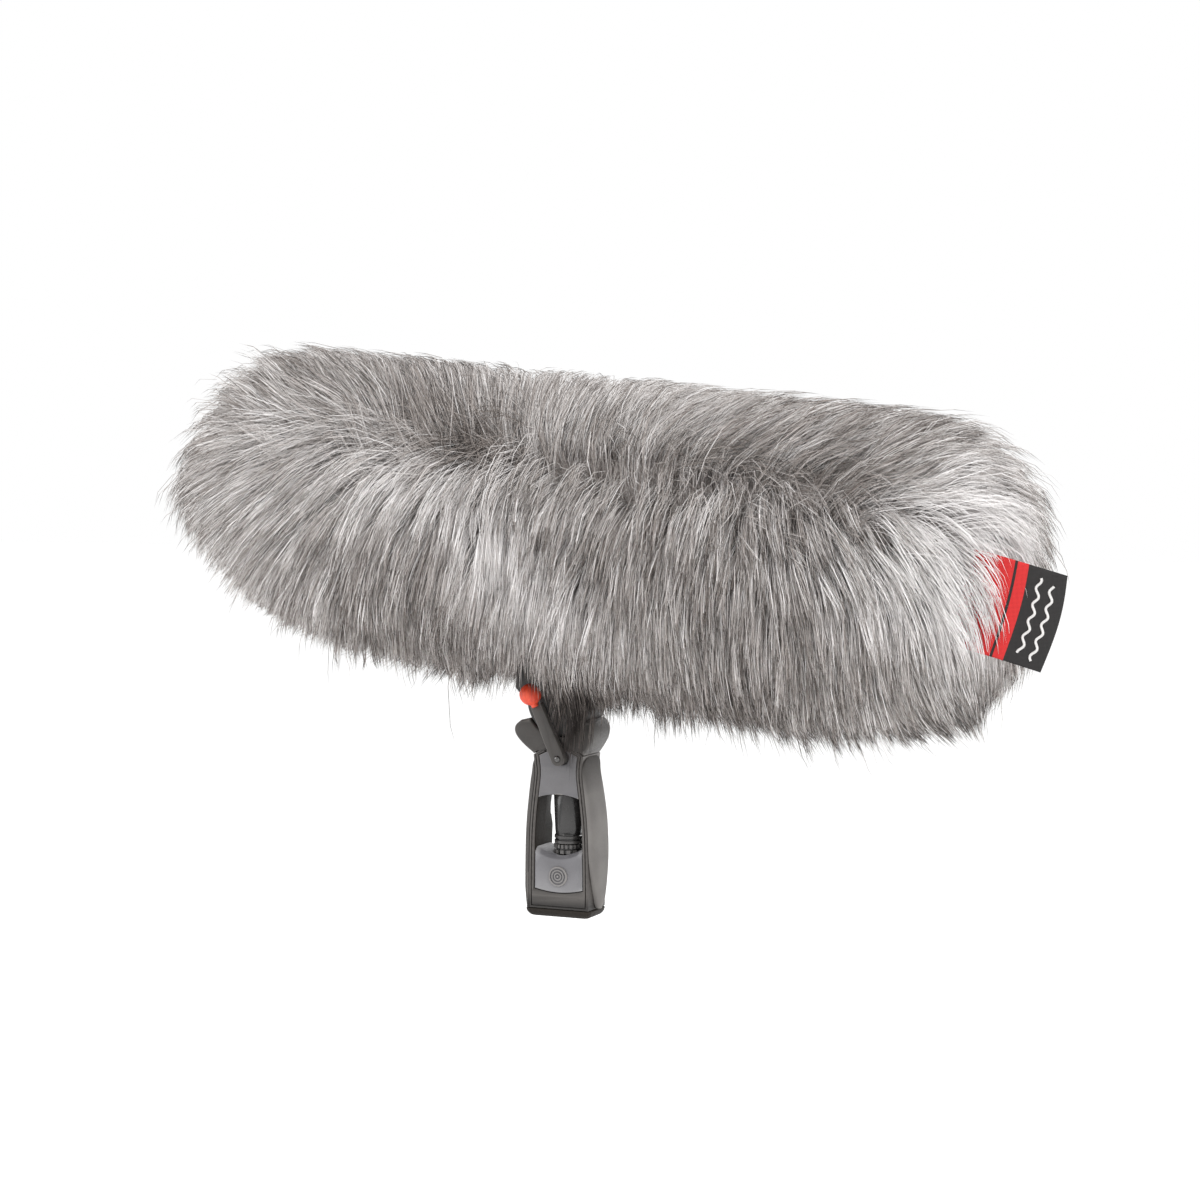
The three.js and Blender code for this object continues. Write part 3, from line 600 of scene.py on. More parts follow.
def base_cap():
    levels = [(0, 4.2), (0.25, 3.1), (0.8, 2.1), (1.7, 1.2), (2.9, 0.5)]
    levels += [(BASE_TOP - 0.5, 0.05), (BASE_TOP, 0.3)]
    block = rounded_block(*BASE_ENDS, GRIP_HALF, levels, BASE_CORNER)
    return cut(block, round_bar(INSERT_RADIUS, -1, BASE_TOP + 1, (0, 0, 0), "Z"))


def connector_block():
    """Its top is hollowed to a shallow arc and bevelled down to the faces."""
    centre = (0, BLOCK_TOP + 22)
    sections = []
    bevel = [(GRIP_HALF - 0.3, 3.1, 0.5), (GRIP_HALF - 0.5, 2.6, 0.15), (GRIP_HALF - 0.9, 2.2, 0),
             (GRIP_HALF - 3.2, 0.35, 0), (GRIP_HALF - 4.4, 0, 0)]
    for y, drop, inset in [(-y, d, i) for y, d, i in bevel] + bevel[::-1]:
        side = edge(-RIM - CLEAR - inset, WINDOW_LOW + CLEAR, BLOCK_TOP - drop)
        top = [(x, z - drop) for x, z in arc(centre, 26.2, -60, -120, 30)]
        foot = [(x, z + CLEAR + inset * 0.5) for x, z in WINDOW_FOOT]
        sections.append([(x, y, z) for x, z in [*both_sides(side, *top), *foot]])
    block = lofted(sections)
    room = CONNECTOR_RADIUS + CLEAR
    return cut(block, round_bar(room, CONNECTOR_LOW - CLEAR, BLOCK_TOP + 10, (CONNECTOR_X, 0, 0), "Z"),
               round_bar(INSERT_RADIUS, 0, INSERT_HEIGHT, (0, 0, 0), "Z"))


def badge(side):
    profile = [(0, 0), (BADGE_RADIUS, 0), (BADGE_RADIUS, 0.85), (BADGE_RADIUS - 0.25, 1.1)]
    for k in range(3):
        outer = BADGE_RADIUS - 1.0 - 1.7 * k
        profile += [(outer, 1.1), (outer - 0.15, 0.6), (outer - 0.75, 0.6), (outer - 0.9, 1.1)]
    mesh = turned([*profile, (0, 1.1)], 56)
    mesh.transform(Matrix.Translation((0, side * (GRIP_HALF - 0.1), BADGE_HEIGHT))
                   @ Matrix.Rotation(-side * math.pi / 2, 4, "X"))
    return cleaned(mesh)


def toothed(radius, depth, low, high, teeth):
    """A short cylinder with slots down its side."""
    rim = []
    for k in range(teeth):
        for t, drop in ((0.04, 0), (0.6, 0), (0.66, depth), (0.98, depth)):
            angle = 2 * math.pi * (k + t) / teeth
            rim.append(((radius - drop) * math.cos(angle), (radius - drop) * math.sin(angle)))
    shrink = lambda by, z: [(x * (1 - by / radius), y * (1 - by / radius), z) for x, y in rim]
    return lofted([shrink(0.3, low), shrink(0, low + 0.3), shrink(0, high - 0.3), shrink(0.3, high)])


def add_connector():
    foot = CONNECTOR_RADIUS - 0.4
    ring_top = COLLAR_LOW - 0.6
    ring = turned([(4, CONNECTOR_LOW), (foot, CONNECTOR_LOW), (foot, ring_top - 0.3), (foot - 0.3, ring_top),
                   (4, ring_top)])
    place = Matrix.Translation((CONNECTOR_X, 0, 0))
    ring.transform(place)
    stand_for("connector_ring", ring, "steel")
    middle = (COLLAR_LOW + COLLAR_HIGH) / 2
    lower = toothed(CONNECTOR_RADIUS, 1.1, COLLAR_LOW, middle - 0.4, 14)
    upper = toothed(CONNECTOR_RADIUS, 0.7, middle + 0.4, COLLAR_HIGH, 22)
    stem = round_bar(CONNECTOR_RADIUS - 1.5, COLLAR_LOW + 0.1, COLLAR_HIGH - 0.1, (0, 0, 0), "Z")
    collar = boolean("UNION", lower, upper, stem)
    collar.transform(place)
    stand_for("connector_collar", collar, "connector")
    low = COLLAR_HIGH + CLEAR
    waist = CONNECTOR_RADIUS - 0.8
    ribbed = [(0, 0), (0.4, 0.3), (0.4, 1.9), (-0.2, 2.2), (-0.2, 2.9), (0.4, 3.2), (0.4, 4.8)]
    ribbed += [(-0.1, 5.2), (-0.1, 6)]
    profile = [(0, low), *[(waist + out, low + up) for out, up in ribbed],
               (CONNECTOR_RADIUS - 0.3, low + 7.2), (CONNECTOR_RADIUS, low + 9),
               (CONNECTOR_RADIUS, CONNECTOR_HIGH - 8), (6, CONNECTOR_HIGH), (0, CONNECTOR_HIGH)]
    barrel = turned(profile, 96)
    facets = []
    for degrees in (-74, 16, 106, 196):
        facet = box_mesh((-8, 0, -16), (8, 8, 16))
        lean = Matrix.Rotation(math.radians(-3.4), 4, "X")
        out = Matrix.Translation((0, CONNECTOR_RADIUS - 0.75, low + 22))
        facet.transform(Matrix.Rotation(math.radians(degrees - 90), 4, "Z") @ out @ lean)
        facets.append(facet)
    barrel = cut(barrel, *facets)
    barrel.transform(place)
    stand_for("connector_barrel", barrel, "connector")


def grip_head():
    """The head, with a wing at the front and rear and the drum's hollow between them."""
    shoulder = (FRAME_EDGE[-1][1], GRIP_SHOULDER + 2 * CLEAR)
    rear, front = [smooth_line([shoulder, *wing], 6) for wing in (REAR_WING, FRONT_WING)]
    hollow = arc((0, AXLE), HOLLOW_RADIUS, -30, -150, 48)
    outline = [*map(tuple, rear), *hollow, *[(-x, z) for x, z in reversed(front)], (0, GRIP_APEX + 2 * CLEAR)]
    body = plate([outline], -GRIP_HALF, GRIP_HALF, 1.5)
    room = ROD_HALF + CLEAR
    slot = box_mesh((-ROD_HALF - 1, -room, GRIP_SHOULDER + 1), (ROD_HALF + 1, room, AXLE - 2))
    return cut(body, slot, round_bar(ROD_EYE, -room, room, CAM_PLACE))


def basket_neck():
    """The drum and its neck, with room for the clamp's rod, the axle and the bar's screws."""
    drum = arc((0, 0), DRUM_RADIUS, DRUM_EDGE - 180, -DRUM_EDGE, 56)
    outline = [*drum, *both_sides(NECK_SIDE)]
    body = plate([outline], -NECK_HALF, NECK_HALF, 1.2)
    slot_half = ROD_HALF + CLEAR
    wedge = plate([[(0, 0), *arc((0, 0), DRUM_RADIUS + 3, -135, -45, 12)]], -slot_half, slot_half, 0)
    cuts = [wedge, round_bar(8.2, -slot_half, slot_half, (0, 0, 0)),
            round_bar(3.3, -NECK_HALF - 1, NECK_HALF + 1, (0, 0, 0))]
    cuts += [round_bar(2.1, 38, 52, (x, 0, 0), "Z", steps=24) for x in (-11, 11)]
    return cut(body, *cuts)


def add_lever():
    """The lever's arm, pin and ball, drawn upright about the cam and then leant forward. The ball has a
    moulding line."""
    place = Matrix.Translation(CAM_PLACE) @ Matrix.Rotation(-LEVER_LEAN, 4, "Y")
    outer = LEVER_FACE - LEVER_THICK
    top = LEVER_LENGTH - KNOB_RADIUS - 0.4
    outline = [*arc((0, 0), 4.4, 180, 360, 28), (3.6, top), (-3.6, top)]
    arm = plate([outline, circle(0, 0, 1.6, 24)], outer, LEVER_FACE, 0.7)
    arm.transform(place)
    stand_for("lever_arm", arm, "frame", "clamp_lever")

    seam = 0.07
    low = -KNOB_RADIUS
    ball = [(0, low - 1.6), (1.9, low - 1.6), (2.1, low - 1.4), (2.3, low * 0.96)]
    for degrees in np.linspace(-66, 90, 53)[:-1]:
        radius = KNOB_RADIUS + seam * math.exp(-(degrees / 2.2) ** 2)
        ball.append((radius * math.cos(math.radians(degrees)), radius * math.sin(math.radians(degrees))))
    ball.append((0, KNOB_RADIUS))
    knob = turned(ball, 72)
    knob.transform(place @ Matrix.Translation((0, KNOB_Y, LEVER_LENGTH)))
    stand_for("lever_knob", knob, "knob", "clamp_lever")

    head = [(0, -0.3), (PIN_RADIUS, -0.3), (PIN_RADIUS, 0.15)]
    head += [(PIN_RADIUS * math.cos(a), 0.15 + 0.95 * math.sin(a)) for a in np.radians([20, 40, 60, 78])]
    head.append((0, 1.1))
    pin = boolean("UNION", turned(head, 40), round_bar(1.3, -11.8, 0, (0, 0, 0), "Z", steps=24))
    pin.transform(place @ Matrix.Translation((0, outer, 0)) @ Matrix.Rotation(math.pi / 2, 4, "X"))
    stand_for("lever_pin", pin, "steel", "clamp_lever", look="pin")


def paint_window_shade(piece):
    """The window's inner walls take the base's dark look, as painted shade in the recess."""
    piece.data.materials.append(LOOKS["foot"])
    for face in piece.data.polygons:
        x, y, z = face.center / MM
        wide = half_depth(z) - RIM + 0.4 + (WINDOW_FLARE if y > 0 else 0)
        inside = WINDOW_LOW - WINDOW_SAG - 1 < z < WINDOW_HIGH + 0.5 and abs(x) < wide
        if inside and abs(y) < GRIP_HALF - 0.6:
            face.material_index = 1


def add_grip():
    for name, side in (("near", -1), ("far", 1)):
        paint_window_shade(stand_for(f"grip_frame_{name}", frame_half(side), "frame"))
        stand_for(f"cheek_plate_{name}", cheek_plate(side), "cheek")
        stand_for(f"badge_{name}", badge(side), "cheek")
    for name, (side, low, high) in PADS.items():
        look = "front_pad" if side < 0 else "rubber"
        pad = stand_for(f"rubber_pad_{name}", rubber_pad(side, low, high), "rubber", look=look)
        pad.data.materials.append(LOOKS["frame"])
        for face in pad.data.polygons:
            face.material_index = int(side < 0 and face.center.z < FRONT_PAD_FOOT * MM)
    stand_for("base_cap", base_cap(), "frame", look="foot")
    stand_for("connector_block", connector_block(), "cheek", look="block")
    stand_for("grip_head", grip_head(), "frame")
    stand_for("basket_neck", basket_neck(), "plastic", "basket", TILTED)
    add_connector()
    add_lever()


# ---------------------------------------------------------------- side label

LABEL_EDGE = (305, -46, 89)
LABEL_TURN = math.radians(9.2)
LABEL_SIZE = (55, 54.6)  # millimetres out from the seam, and along it
LABEL_RED = 0.58  # share of its width that the red band takes, on the seam side
LABEL_STRIPE = (0.42, 0.45)  # a fine black line along the red band
LABEL_BOW = 2.2  # how far it bows
LABEL_SWAY = 0.8
LABEL_CURL = 2.4  # how far its outer edge curves
LABEL_THICK = 0.55
LABEL_CELLS = 34
LABEL_LINES = [(0.72, 0.12, 0.9, 6), (0.86, 0.08, 0.86, 6)]  # place across, ends, waves
LINE_SWING = 0.022  # share of the label's width
LINE_RADIUS = 0.75
LINE_STEPS = 96


def label_point(u, v, off=0.0):
    """A point of the label: u from its inner edge to its outer, v up it, and off its middle surface."""
    width, height = LABEL_SIZE
    bow = LABEL_BOW * math.sin(math.pi * u) * math.cos(math.pi * (v - 0.5) * 0.6)
    bow -= LABEL_SWAY * math.sin(2 * math.pi * v) * u
    curl = LABEL_CURL * u * (math.sin(math.pi * v) - 0.6)
    return Vector(((u - 1) * width + curl, bow + off - 0.5 * LABEL_BOW, (v - 0.5) * height))


def add_label():
    """A woven label folded over the rear seam, with a red band, a black one, and raised wavy lines."""
    place = TILTED @ Matrix.Translation(LABEL_EDGE) @ Matrix.Rotation(LABEL_TURN, 4, "Y")
    cells = LABEL_CELLS
    points = [label_point(i / cells, j / cells) for i in range(cells + 1) for j in range(cells + 1)]
    corners = [i * (cells + 1) + j for i in range(cells) for j in range(cells)]
    faces = [(corner, corner + cells + 1, corner + cells + 2, corner + 1) for corner in corners]
    mesh = bpy.data.meshes.new("side_label")
    mesh.from_pydata(points, [], faces)
    mesh.shade_smooth()
    for face in mesh.polygons:
        across = face.index // cells / cells
        face.material_index = int(across >= LABEL_RED or LABEL_STRIPE[0] < across < LABEL_STRIPE[1])
    label = show("side_label_finished", mesh, [LOOKS["label_red"], LOOKS["label"]], "basket", place)
    thickened(label, LABEL_THICK * MM, 0)
    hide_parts("side_label")

    curves = bpy.data.curves.new("wavy_lines", "CURVE")
    curves.dimensions = "3D"
    curves.bevel_depth = LINE_RADIUS
    curves.bevel_resolution = 2
    for side in (-1, 1):
        for u, start, end, waves in LABEL_LINES:
            spline = curves.splines.new("POLY")
            spline.points.add(LINE_STEPS)
            for n, point in enumerate(spline.points):
                v = start + (end - start) * n / LINE_STEPS
                wave = LINE_SWING * math.sin(2 * math.pi * v * waves)
                point.co = (*label_point(u + wave, v, side * LABEL_THICK * 0.5), 1)
    lines = cleaned(finished_mesh(placed("wavy_lines", curves)))
    stitched = show("label_stitching", lines, [LOOKS["thread"]], "basket", place)


# ---------------------------------------------------------------- looks of the hard parts

LOOKS = {
    # The frame's fade is painted shade, darker towards the base, where the foot curves under.
    "frame": moulded("frame", colour(43, 40, 37), colour(57, 53, 50), 0.5, worn=colour(92, 88, 85),
                     fade=(colour(24, 20, 17), 8, 15)),
    "foot": moulded("foot", colour(18, 15, 11), colour(27, 22, 17), 0.65, worn=colour(38, 33, 28), shine=0.2),
    # The rubber's fade is a painted shadow of the fur, darker towards the top of the rear pad.
    "rubber": moulded("rubber", colour(92, 89, 87), colour(108, 105, 102), 0.72, grain=1400, bump=0.35,
                      fade=(colour(44, 40, 37), 97, 76)),
    "cheek": moulded("cheek", colour(80, 79, 81), colour(95, 94, 97), 0.55, grain=1100, bump=0.4,
                     worn=colour(132, 128, 125)),
    "block": moulded("block", colour(86, 85, 88), colour(102, 101, 104), 0.5, grain=1100, bump=0.4,
                     worn=colour(150, 149, 150)),
    "front_pad": moulded("front_pad", colour(58, 55, 53), colour(70, 67, 65), 0.7, grain=1400, bump=0.35),
    "knob": brushed("knob", colour(182, 44, 22), colour(226, 82, 50), 0.5, along=(1, 1, 0.1), metallic=0),
    "steel": brushed("steel", colour(170, 170, 170), colour(215, 215, 215), 0.25),
    "pin": brushed("pin", colour(66, 65, 64), colour(112, 111, 110), 0.22),
    "brass": brushed("brass", colour(160, 128, 66), colour(196, 160, 92), 0.35),
    "connector": moulded("connector", colour(24, 23, 23), colour(36, 35, 35), 0.22, grain=300, bump=0.02,
                         worn=colour(78, 76, 75)),
    "plastic": moulded("plastic", colour(30, 29, 28), colour(42, 41, 40), 0.5, worn=colour(66, 65, 64)),
    "mesh": woven("mesh", colour(52, 53, 57), colour(98, 99, 103), 0.0012),
    "tape": woven("tape", colour(20, 20, 20), colour(46, 45, 45), 0.0009),
    "label": woven("label", colour(14, 13, 13), colour(40, 38, 38), 0.0007),
    "label_red": woven("label_red", colour(150, 18, 22), colour(208, 44, 44), 0.0007),
    "thread": woven("thread", colour(176, 174, 172), colour(222, 220, 218), 0.0005),
}


BLACKENED = ("tilt_axle", "lever_cam")


def finish_cad_nodes():
    """Every CAD node that is still shown takes its slot's look."""
    for node in nodes.values():
        if node.hide_render:
            continue
        slot = node.data.materials[0].name.split(".")[0]
        node.material_slots[0].link = "OBJECT"
        node.material_slots[0].material = LOOKS["plastic" if node.name in BLACKENED else slot]


# ---------------------------------------------------------------- fur

PILE_SEED = 11
CLUMPS = 11500
HAIRS_PER_CLUMP = 10
PILE_BANDS = 6  # pieces on each side, besides the ends
HAIR_LENGTH = 57 * MM
HAIR_RADIUS = 0.18 * MM
REACH = 99.5 * MM  # how far the coat stands off its axis, to the sides and up
EASE = 11 * MM
HEAD_ROOM = (64 * MM, 12 * MM, 38 * MM, 14 * MM)  # how far from the head hair is held off it: along, and up
NEAR_ROOM = 21 * MM
FAR_ROOM = 14.5 * MM
CLUMP_SPREAD = 2.7 * MM
RIDGE_TURN = math.radians(128)  # the parting's place round the axis, from straight down towards -Y
RIDGE_WIDTH = math.radians(11)
FAN_WIDTH = math.radians(42)
HEM_TURN = math.radians(30)
END_FALL = 0.6  # how strongly the end panels' hair falls
STEPS = 4  # stretches in a hair
SHARES = (0.28, 0.28, 0.26, 0.18)  # of the hair's length
LAID = (0.62, 1.0, 1.05, 1.05)  # how far it lies along the coat
RAISED = (1.0, 0.42, 0.2, 0.08)  # how far it stands off
STIFFNESS = 0.4  # how far a stretch keeps the one before's direction
HANGING = (0.0, 0.06, 0.12, 0.2)  # how far it droops
GATHER = (0.0, 0.3, 0.55, 0.72, 0.85)  # how far a clump's hairs have drawn together
WIDTHS = (0.75, 1.0, 1.0, 0.75)

# Tones from the palest to the darkest, as levels of red, green and blue.
HAIR_TONES = [(236, 233, 232), (212, 208, 206), (188, 182, 179), (162, 155, 151), (134, 126, 121),
              (104, 96, 91), (74, 67, 63), (46, 40, 37)]
DARKENING = (-0.5, 0.0, 1.4, 4.6)  # tones darker along a guard hair, from its root to its tip
SADDLE = (18, 27, 13, 14)  # where long hair hangs over the grip's head, darkened with painted shade: place, turn, and their spreads
SADDLE_FALL = 0.9  # how much more steeply it falls
BALL_GAP = (-12, 26, 14, 20)  # where it is short above the lever's ball, as for the saddle
TUFTS = 0.09  # share of the clumps along the hem that draw into dark points
TUFT_TURN = math.radians(50)
TUFT_PULL = 1.08  # how tightly they draw together
STRAYS = 0.05  # share of the hairs that stand out past the rest
GUARD_HAIRS = 0.6  # share of the hairs that have dark tips
LIFT_LIMITS = (0.5, 1.7)
BASE_TONE = 1.25
TUFT_TONE = 1.8
STRAY_TONE = 1.2
# painted shade on the hair over the grip's head, in tones
SADDLE_PAINTED_SHADE = 4.2

# Pale and dark patches of tone, partly the coat's own mottling and partly painted light and shade, such as
# the painted highlight that whitens the rear end: place along the axis, turn in degrees, size, size in
# degrees, tone shift.
PATCHES_OF_TONE_AND_LIGHT = [
    (-195, 90, 62, 60, -1.2), (-107, 103, 28, 22, -1.8), (-66, 97, 24, 15, -1.5), (-66, 122, 24, 12, 1.8),
    (-72, 132, 56, 16, 2.2), (-28, 80, 26, 22, -2.2), (10, 62, 26, 24, -1.5), (55, 50, 36, 20, -0.5),
    (100, 80, 50, 50, -0.4), (50, 85, 24, 22, 0.5), (18, 134, 40, 12, 1.4), (112, 130, 50, 14, 1.6),
    (180, 134, 26, 14, 1.2), (205, 80, 30, 22, -1.2), (240, 112, 34, 34, -1.8), (272, 105, 34, 75, -3.6),
    (115, 20, 26, 16, 1.8), (60, 12, 24, 14, 1.2), (-120, 25, 60, 14, 0.6), (10, 12, 60, 24, 1.2),
    (60, 165, 120, 22, -1.0),
]


def core_point(points):
    """The nearest point of the cover's core."""
    nearest = points.copy()
    nearest[..., 0] = np.clip(points[..., 0] - MIDDLE, -CORE_HALF, CORE_HALF) + MIDDLE
    off_axis = np.hypot(points[..., 1], points[..., 2] - AXIS_HEIGHT)
    share = np.minimum(1, CORE_RADIUS / np.maximum(off_axis, 1e-9))
    nearest[..., 1] = points[..., 1] * share
    nearest[..., 2] = AXIS_HEIGHT + (points[..., 2] - AXIS_HEIGHT) * share
    return nearest


def stood_on(points):
    """Each point's outward direction off the cover, its turn round the axis, and its place along it."""
    outward = unit(points - core_point(points))
    turn = np.arctan2(-points[..., 1], AXIS_HEIGHT - points[..., 2])
    return outward, turn, points[..., 0] - MIDDLE


def side_line(radius, steps):
    """The coat's profile at a radius, front to rear: places along the axis, and distances off it."""
    round_end = (radius - CORE_RADIUS) * math.pi / 2
    lengths = np.cumsum([0, CORE_RADIUS, round_end, 2 * CORE_HALF, round_end, CORE_RADIUS])
    run = np.linspace(0, lengths[-1], steps)
    bend = radius - CORE_RADIUS
    first = np.clip((run - lengths[1]) / bend, 0, math.pi / 2)
    second = np.clip((run - lengths[3]) / bend, 0, math.pi / 2)
    along = (-CORE_HALF - bend * np.cos(first) + np.clip(run - lengths[2], 0, 2 * CORE_HALF)
             + bend * np.sin(second))
    off_axis = (np.minimum(run, CORE_RADIUS) + bend * np.sin(first) - bend * (1 - np.cos(second))
                - np.clip(run - lengths[4], 0, CORE_RADIUS))
    return along, np.maximum(off_axis, 0)


def swirl(along, turn):
    """A slow wander of the coat's direction, in radians."""
    return (0.09 * np.sin(along * 31 + 2.1 * np.sin(turn * 2)) + 0.07 * np.sin(along * 67 + turn * 3 + 1.3)
            + 0.05 * np.sin(turn * 7 + along * 23 + 0.7))


def drift_along(place, past_ridge):
    """How far the hair is combed towards the cover's ends, most at the parting and at the front end."""
    by_ridge = hump(past_ridge, FAN_WIDTH)
    ends = np.abs(place) ** 3
    front = -(0.3 * np.abs(place) + 1.5 * ends) * (0.55 + 0.9 * by_ridge)
    rear = 0.12 * place + ends * (0.2 + 1.9 * by_ridge)
    below = np.where(place < 0, front, rear)
    above = np.clip(0.18 + np.where(place < 0, 2.6, 1.5) * place, -1.8, 1.6)
    return np.where(past_ridge < 0, below, above)


def combed(points, side, wander):
    """The direction that the coat lies in at each point, along the cover's surface."""
    outward, turn, along = stood_on(points)
    past_ridge = turn - RIDGE_TURN
    past_ridge = np.where(turn < -math.pi / 2, past_ridge + 2 * math.pi, past_ridge)
    parted = np.tanh(past_ridge / RIDGE_WIDTH + side)
    down = np.where(turn >= 0, parted, 1.0) * np.tanh(np.abs(turn) / HEM_TURN)
    place = along / (CORE_HALF + COAT_RADIUS - CORE_RADIUS)
    drift = drift_along(place, past_ridge)
    facing = outward[..., 0] ** 2
    angle = swirl(along, turn) + wander
    round_axis = down * np.cos(angle) - drift * np.sin(angle)
    along_axis = drift * np.cos(angle) + down * np.sin(angle)
    flow = np.zeros_like(points)
    flow[..., 0] = along_axis
    flow[..., 1] = -np.cos(turn) * round_axis
    flow[..., 2] = np.sin(turn) * round_axis
    flow *= (1 - facing)[..., None]
    flow[..., 2] -= facing * END_FALL
    flow -= outward * (flow * outward).sum(-1, keepdims=True)
    size = np.linalg.norm(flow, axis=-1, keepdims=True)
    return flow / np.maximum(size, 0.6), outward


def routes(roots, length, lift, side, wander, heavy):
    """Points along each hair from its root, laid by the coat's direction, its weight and its stiffness."""
    points = [roots]
    heading = None
    for k in range(STEPS):
        flow, outward = combed(points[-1], side, wander)
        step = flow * LAID[k] + outward * (RAISED[k] * lift)[..., None]
        step[..., 2] -= HANGING[k] + SADDLE_FALL * heavy
        step = unit(step)
        heading = step if heading is None else unit(heading * STIFFNESS + step * (1 - STIFFNESS))
        points.append(points[-1] + heading * (length * SHARES[k])[..., None])
    return np.stack(points, axis=-2)


def on_coat(points, radius):
    nearest = core_point(points)
    return nearest + unit(points - nearest) * (radius - CORE_RADIUS)


def eased(distances):
    """Distances that come to rest at REACH, from EASE before it."""
    over = np.maximum(distances - REACH + EASE, 0)
    return np.minimum(distances, REACH - EASE) + EASE * (1 - np.exp(-over / EASE))


def hang_clear(hairs, slack):
    """Hair that hangs beside the grip's head stays outside it, and outside the lever on the near side."""
    half_x, fade_x, high, fade_z = HEAD_ROOM
    side = np.sign(hairs[..., :1, 1])
    beside = np.clip((half_x - np.abs(hairs[..., 0])) / fade_x, 0, 1)
    below = np.clip((high - hairs[..., 2]) / fade_z, 0, 1)
    room = np.where(side < 0, NEAR_ROOM, FAR_ROOM) * slack[..., None] * beside * below
    hairs[..., 1] = side * np.maximum(side * hairs[..., 1], room)


def hump(distance, width):
    return np.exp(-(distance / width) ** 2)


def lengths_at(roots):
    """How long the hair is, and how much of it belongs to the saddle over the grip's head."""
    _, turn, along = stood_on(roots)
    degrees = np.degrees(turn)
    hem = hump(degrees, 45)
    ends = np.clip((np.abs(along) - 150 * MM) / (90 * MM), 0, 1)
    front_hem = np.clip((40 * MM - along) / (160 * MM), 0, 1) * hem
    front_low = np.clip((-along - 130 * MM) / (90 * MM), 0, 1) * hump(degrees - 48, 42)
    saddle, by_ball = [hump(roots[:, 0] / MM - place, width) * hump(degrees - middle, spread)
                       for place, middle, width, spread in (SADDLE, BALL_GAP)]
    share = 1 + 0.6 * saddle - 0.48 * by_ball - 0.2 * hem - 0.22 * front_hem - 0.22 * ends - 0.38 * front_low
    return HAIR_LENGTH * share, saddle


def varied(random, spread, size, low=-np.inf, high=np.inf):
    """Numbers about 1, held between limits."""
    return np.clip(1 + spread * random.normal(size=size), low, high)


def clump_centres(random):
    """Places on the coat, as thick at the ends as along the sides, and their turns round the axis."""
    along, off_axis = side_line(ROOT_RADIUS, 2000)
    share = np.cumsum(off_axis) / off_axis.sum()
    place = random.uniform(0, 1, CLUMPS)
    turn = random.uniform(-math.pi, math.pi, CLUMPS)
    ring = np.interp(place, share, off_axis)
    length_wise = MIDDLE + np.interp(place, share, along)
    centres = [length_wise, -ring * np.sin(turn), AXIS_HEIGHT - ring * np.cos(turn)]
    return np.stack(centres, axis=-1), turn


def patched(hairs, tone):
    """The tone with the patches, partly the coat's own and partly painted light and shade, and how far each
    hair's tip may darken: least where it is pale, so that the painted highlights stay pale.
    """
    _, turn, along = stood_on(hairs[..., -2, :])
    pale = np.zeros(tone.shape)
    for place, degrees, wide, high, shift in PATCHES_OF_TONE_AND_LIGHT:
        apart = np.degrees(np.angle(np.exp(1j * (turn - math.radians(degrees)))))
        change = shift * hump(along / MM - place, wide) * hump(apart, high)
        tone = tone + change
        pale = pale - np.minimum(change, 0)
    return tone, np.clip(1.1 - 0.3 * pale, 0.25, 1)


def grow_pile():
    """Every hair's points, its tone, and its tip's contrast. A hair belongs to a clump that draws it in."""
    random = np.random.default_rng(PILE_SEED)
    centres, turn = clump_centres(random)
    shape = (CLUMPS, HAIRS_PER_CLUMP)
    offsets = random.normal(0, CLUMP_SPREAD, shape + (3,))
    roots = on_coat(centres[:, None] + offsets, ROOT_RADIUS)
    longer = varied(random, 0.12, CLUMPS)
    lift = varied(random, 0.2, CLUMPS, *LIFT_LIMITS)
    side = random.normal(size=CLUMPS)
    wander = 0.1 * random.normal(size=CLUMPS)
    length, saddle = lengths_at(centres)
    length *= longer
    middle = routes(centres, length, lift, side, wander, saddle)

    tuft = ((random.uniform(size=CLUMPS) < TUFTS) & (np.abs(turn) < TUFT_TURN))[:, None]
    stray = random.uniform(size=shape) < STRAYS
    hair_length = length[:, None] * varied(random, 0.13, shape, 0.6, 1.4)
    hair_length = hair_length * (1 + 0.18 * stray) * (1 + 0.1 * tuft)
    hair_lift = lift[:, None] * varied(random, 0.22, shape, *LIFT_LIMITS) * (1 + 0.5 * stray)
    hair_wander = wander[:, None] + 0.07 * random.normal(size=shape)
    hair_side, heavy = [np.broadcast_to(share[:, None], shape) for share in (side, saddle)]
    hairs = routes(roots, hair_length, hair_lift, hair_side, hair_wander, heavy)
    tight = np.clip(0.75 + 0.3 * random.normal(size=shape), 0, 1)
    pull = np.array(GATHER) * np.where(tuft, TUFT_PULL, tight)[..., None]
    hairs += (middle[:, None] - hairs) * pull[..., None]
    hang_clear(hairs, 1 + 0.25 * random.uniform(size=shape))
    hairs[..., 1] = np.sign(hairs[..., 1]) * eased(np.abs(hairs[..., 1]))
    hairs[..., 2] = AXIS_HEIGHT + eased(hairs[..., 2] - AXIS_HEIGHT)

    tone = BASE_TONE + 0.5 * random.normal(size=CLUMPS)[:, None] + 0.85 * random.normal(size=shape)
    # The saddle's darker tone is painted shade.
    tone, contrast = patched(hairs, tone + TUFT_TONE * tuft + STRAY_TONE * stray + SADDLE_PAINTED_SHADE * heavy)
    return hairs.reshape(-1, STEPS + 1, 3), tone.reshape(-1), contrast.reshape(-1), random


def clear_of_openings(hairs):
    """Hairs rooted over the neck's hole or the zip are left out."""
    root = hairs[:, 0]
    under = root[:, 2] < AXIS_HEIGHT
    half_x, half_y = NECK_OPENING
    in_hole = (np.abs(root[:, 0]) < half_x) & (np.abs(root[:, 1]) < half_y)
    start, end, half = ZIP_SLOT
    in_slot = (root[:, 0] > start) & (root[:, 0] < end) & (np.abs(root[:, 1]) < half)
    return ~(under & (in_hole | in_slot))


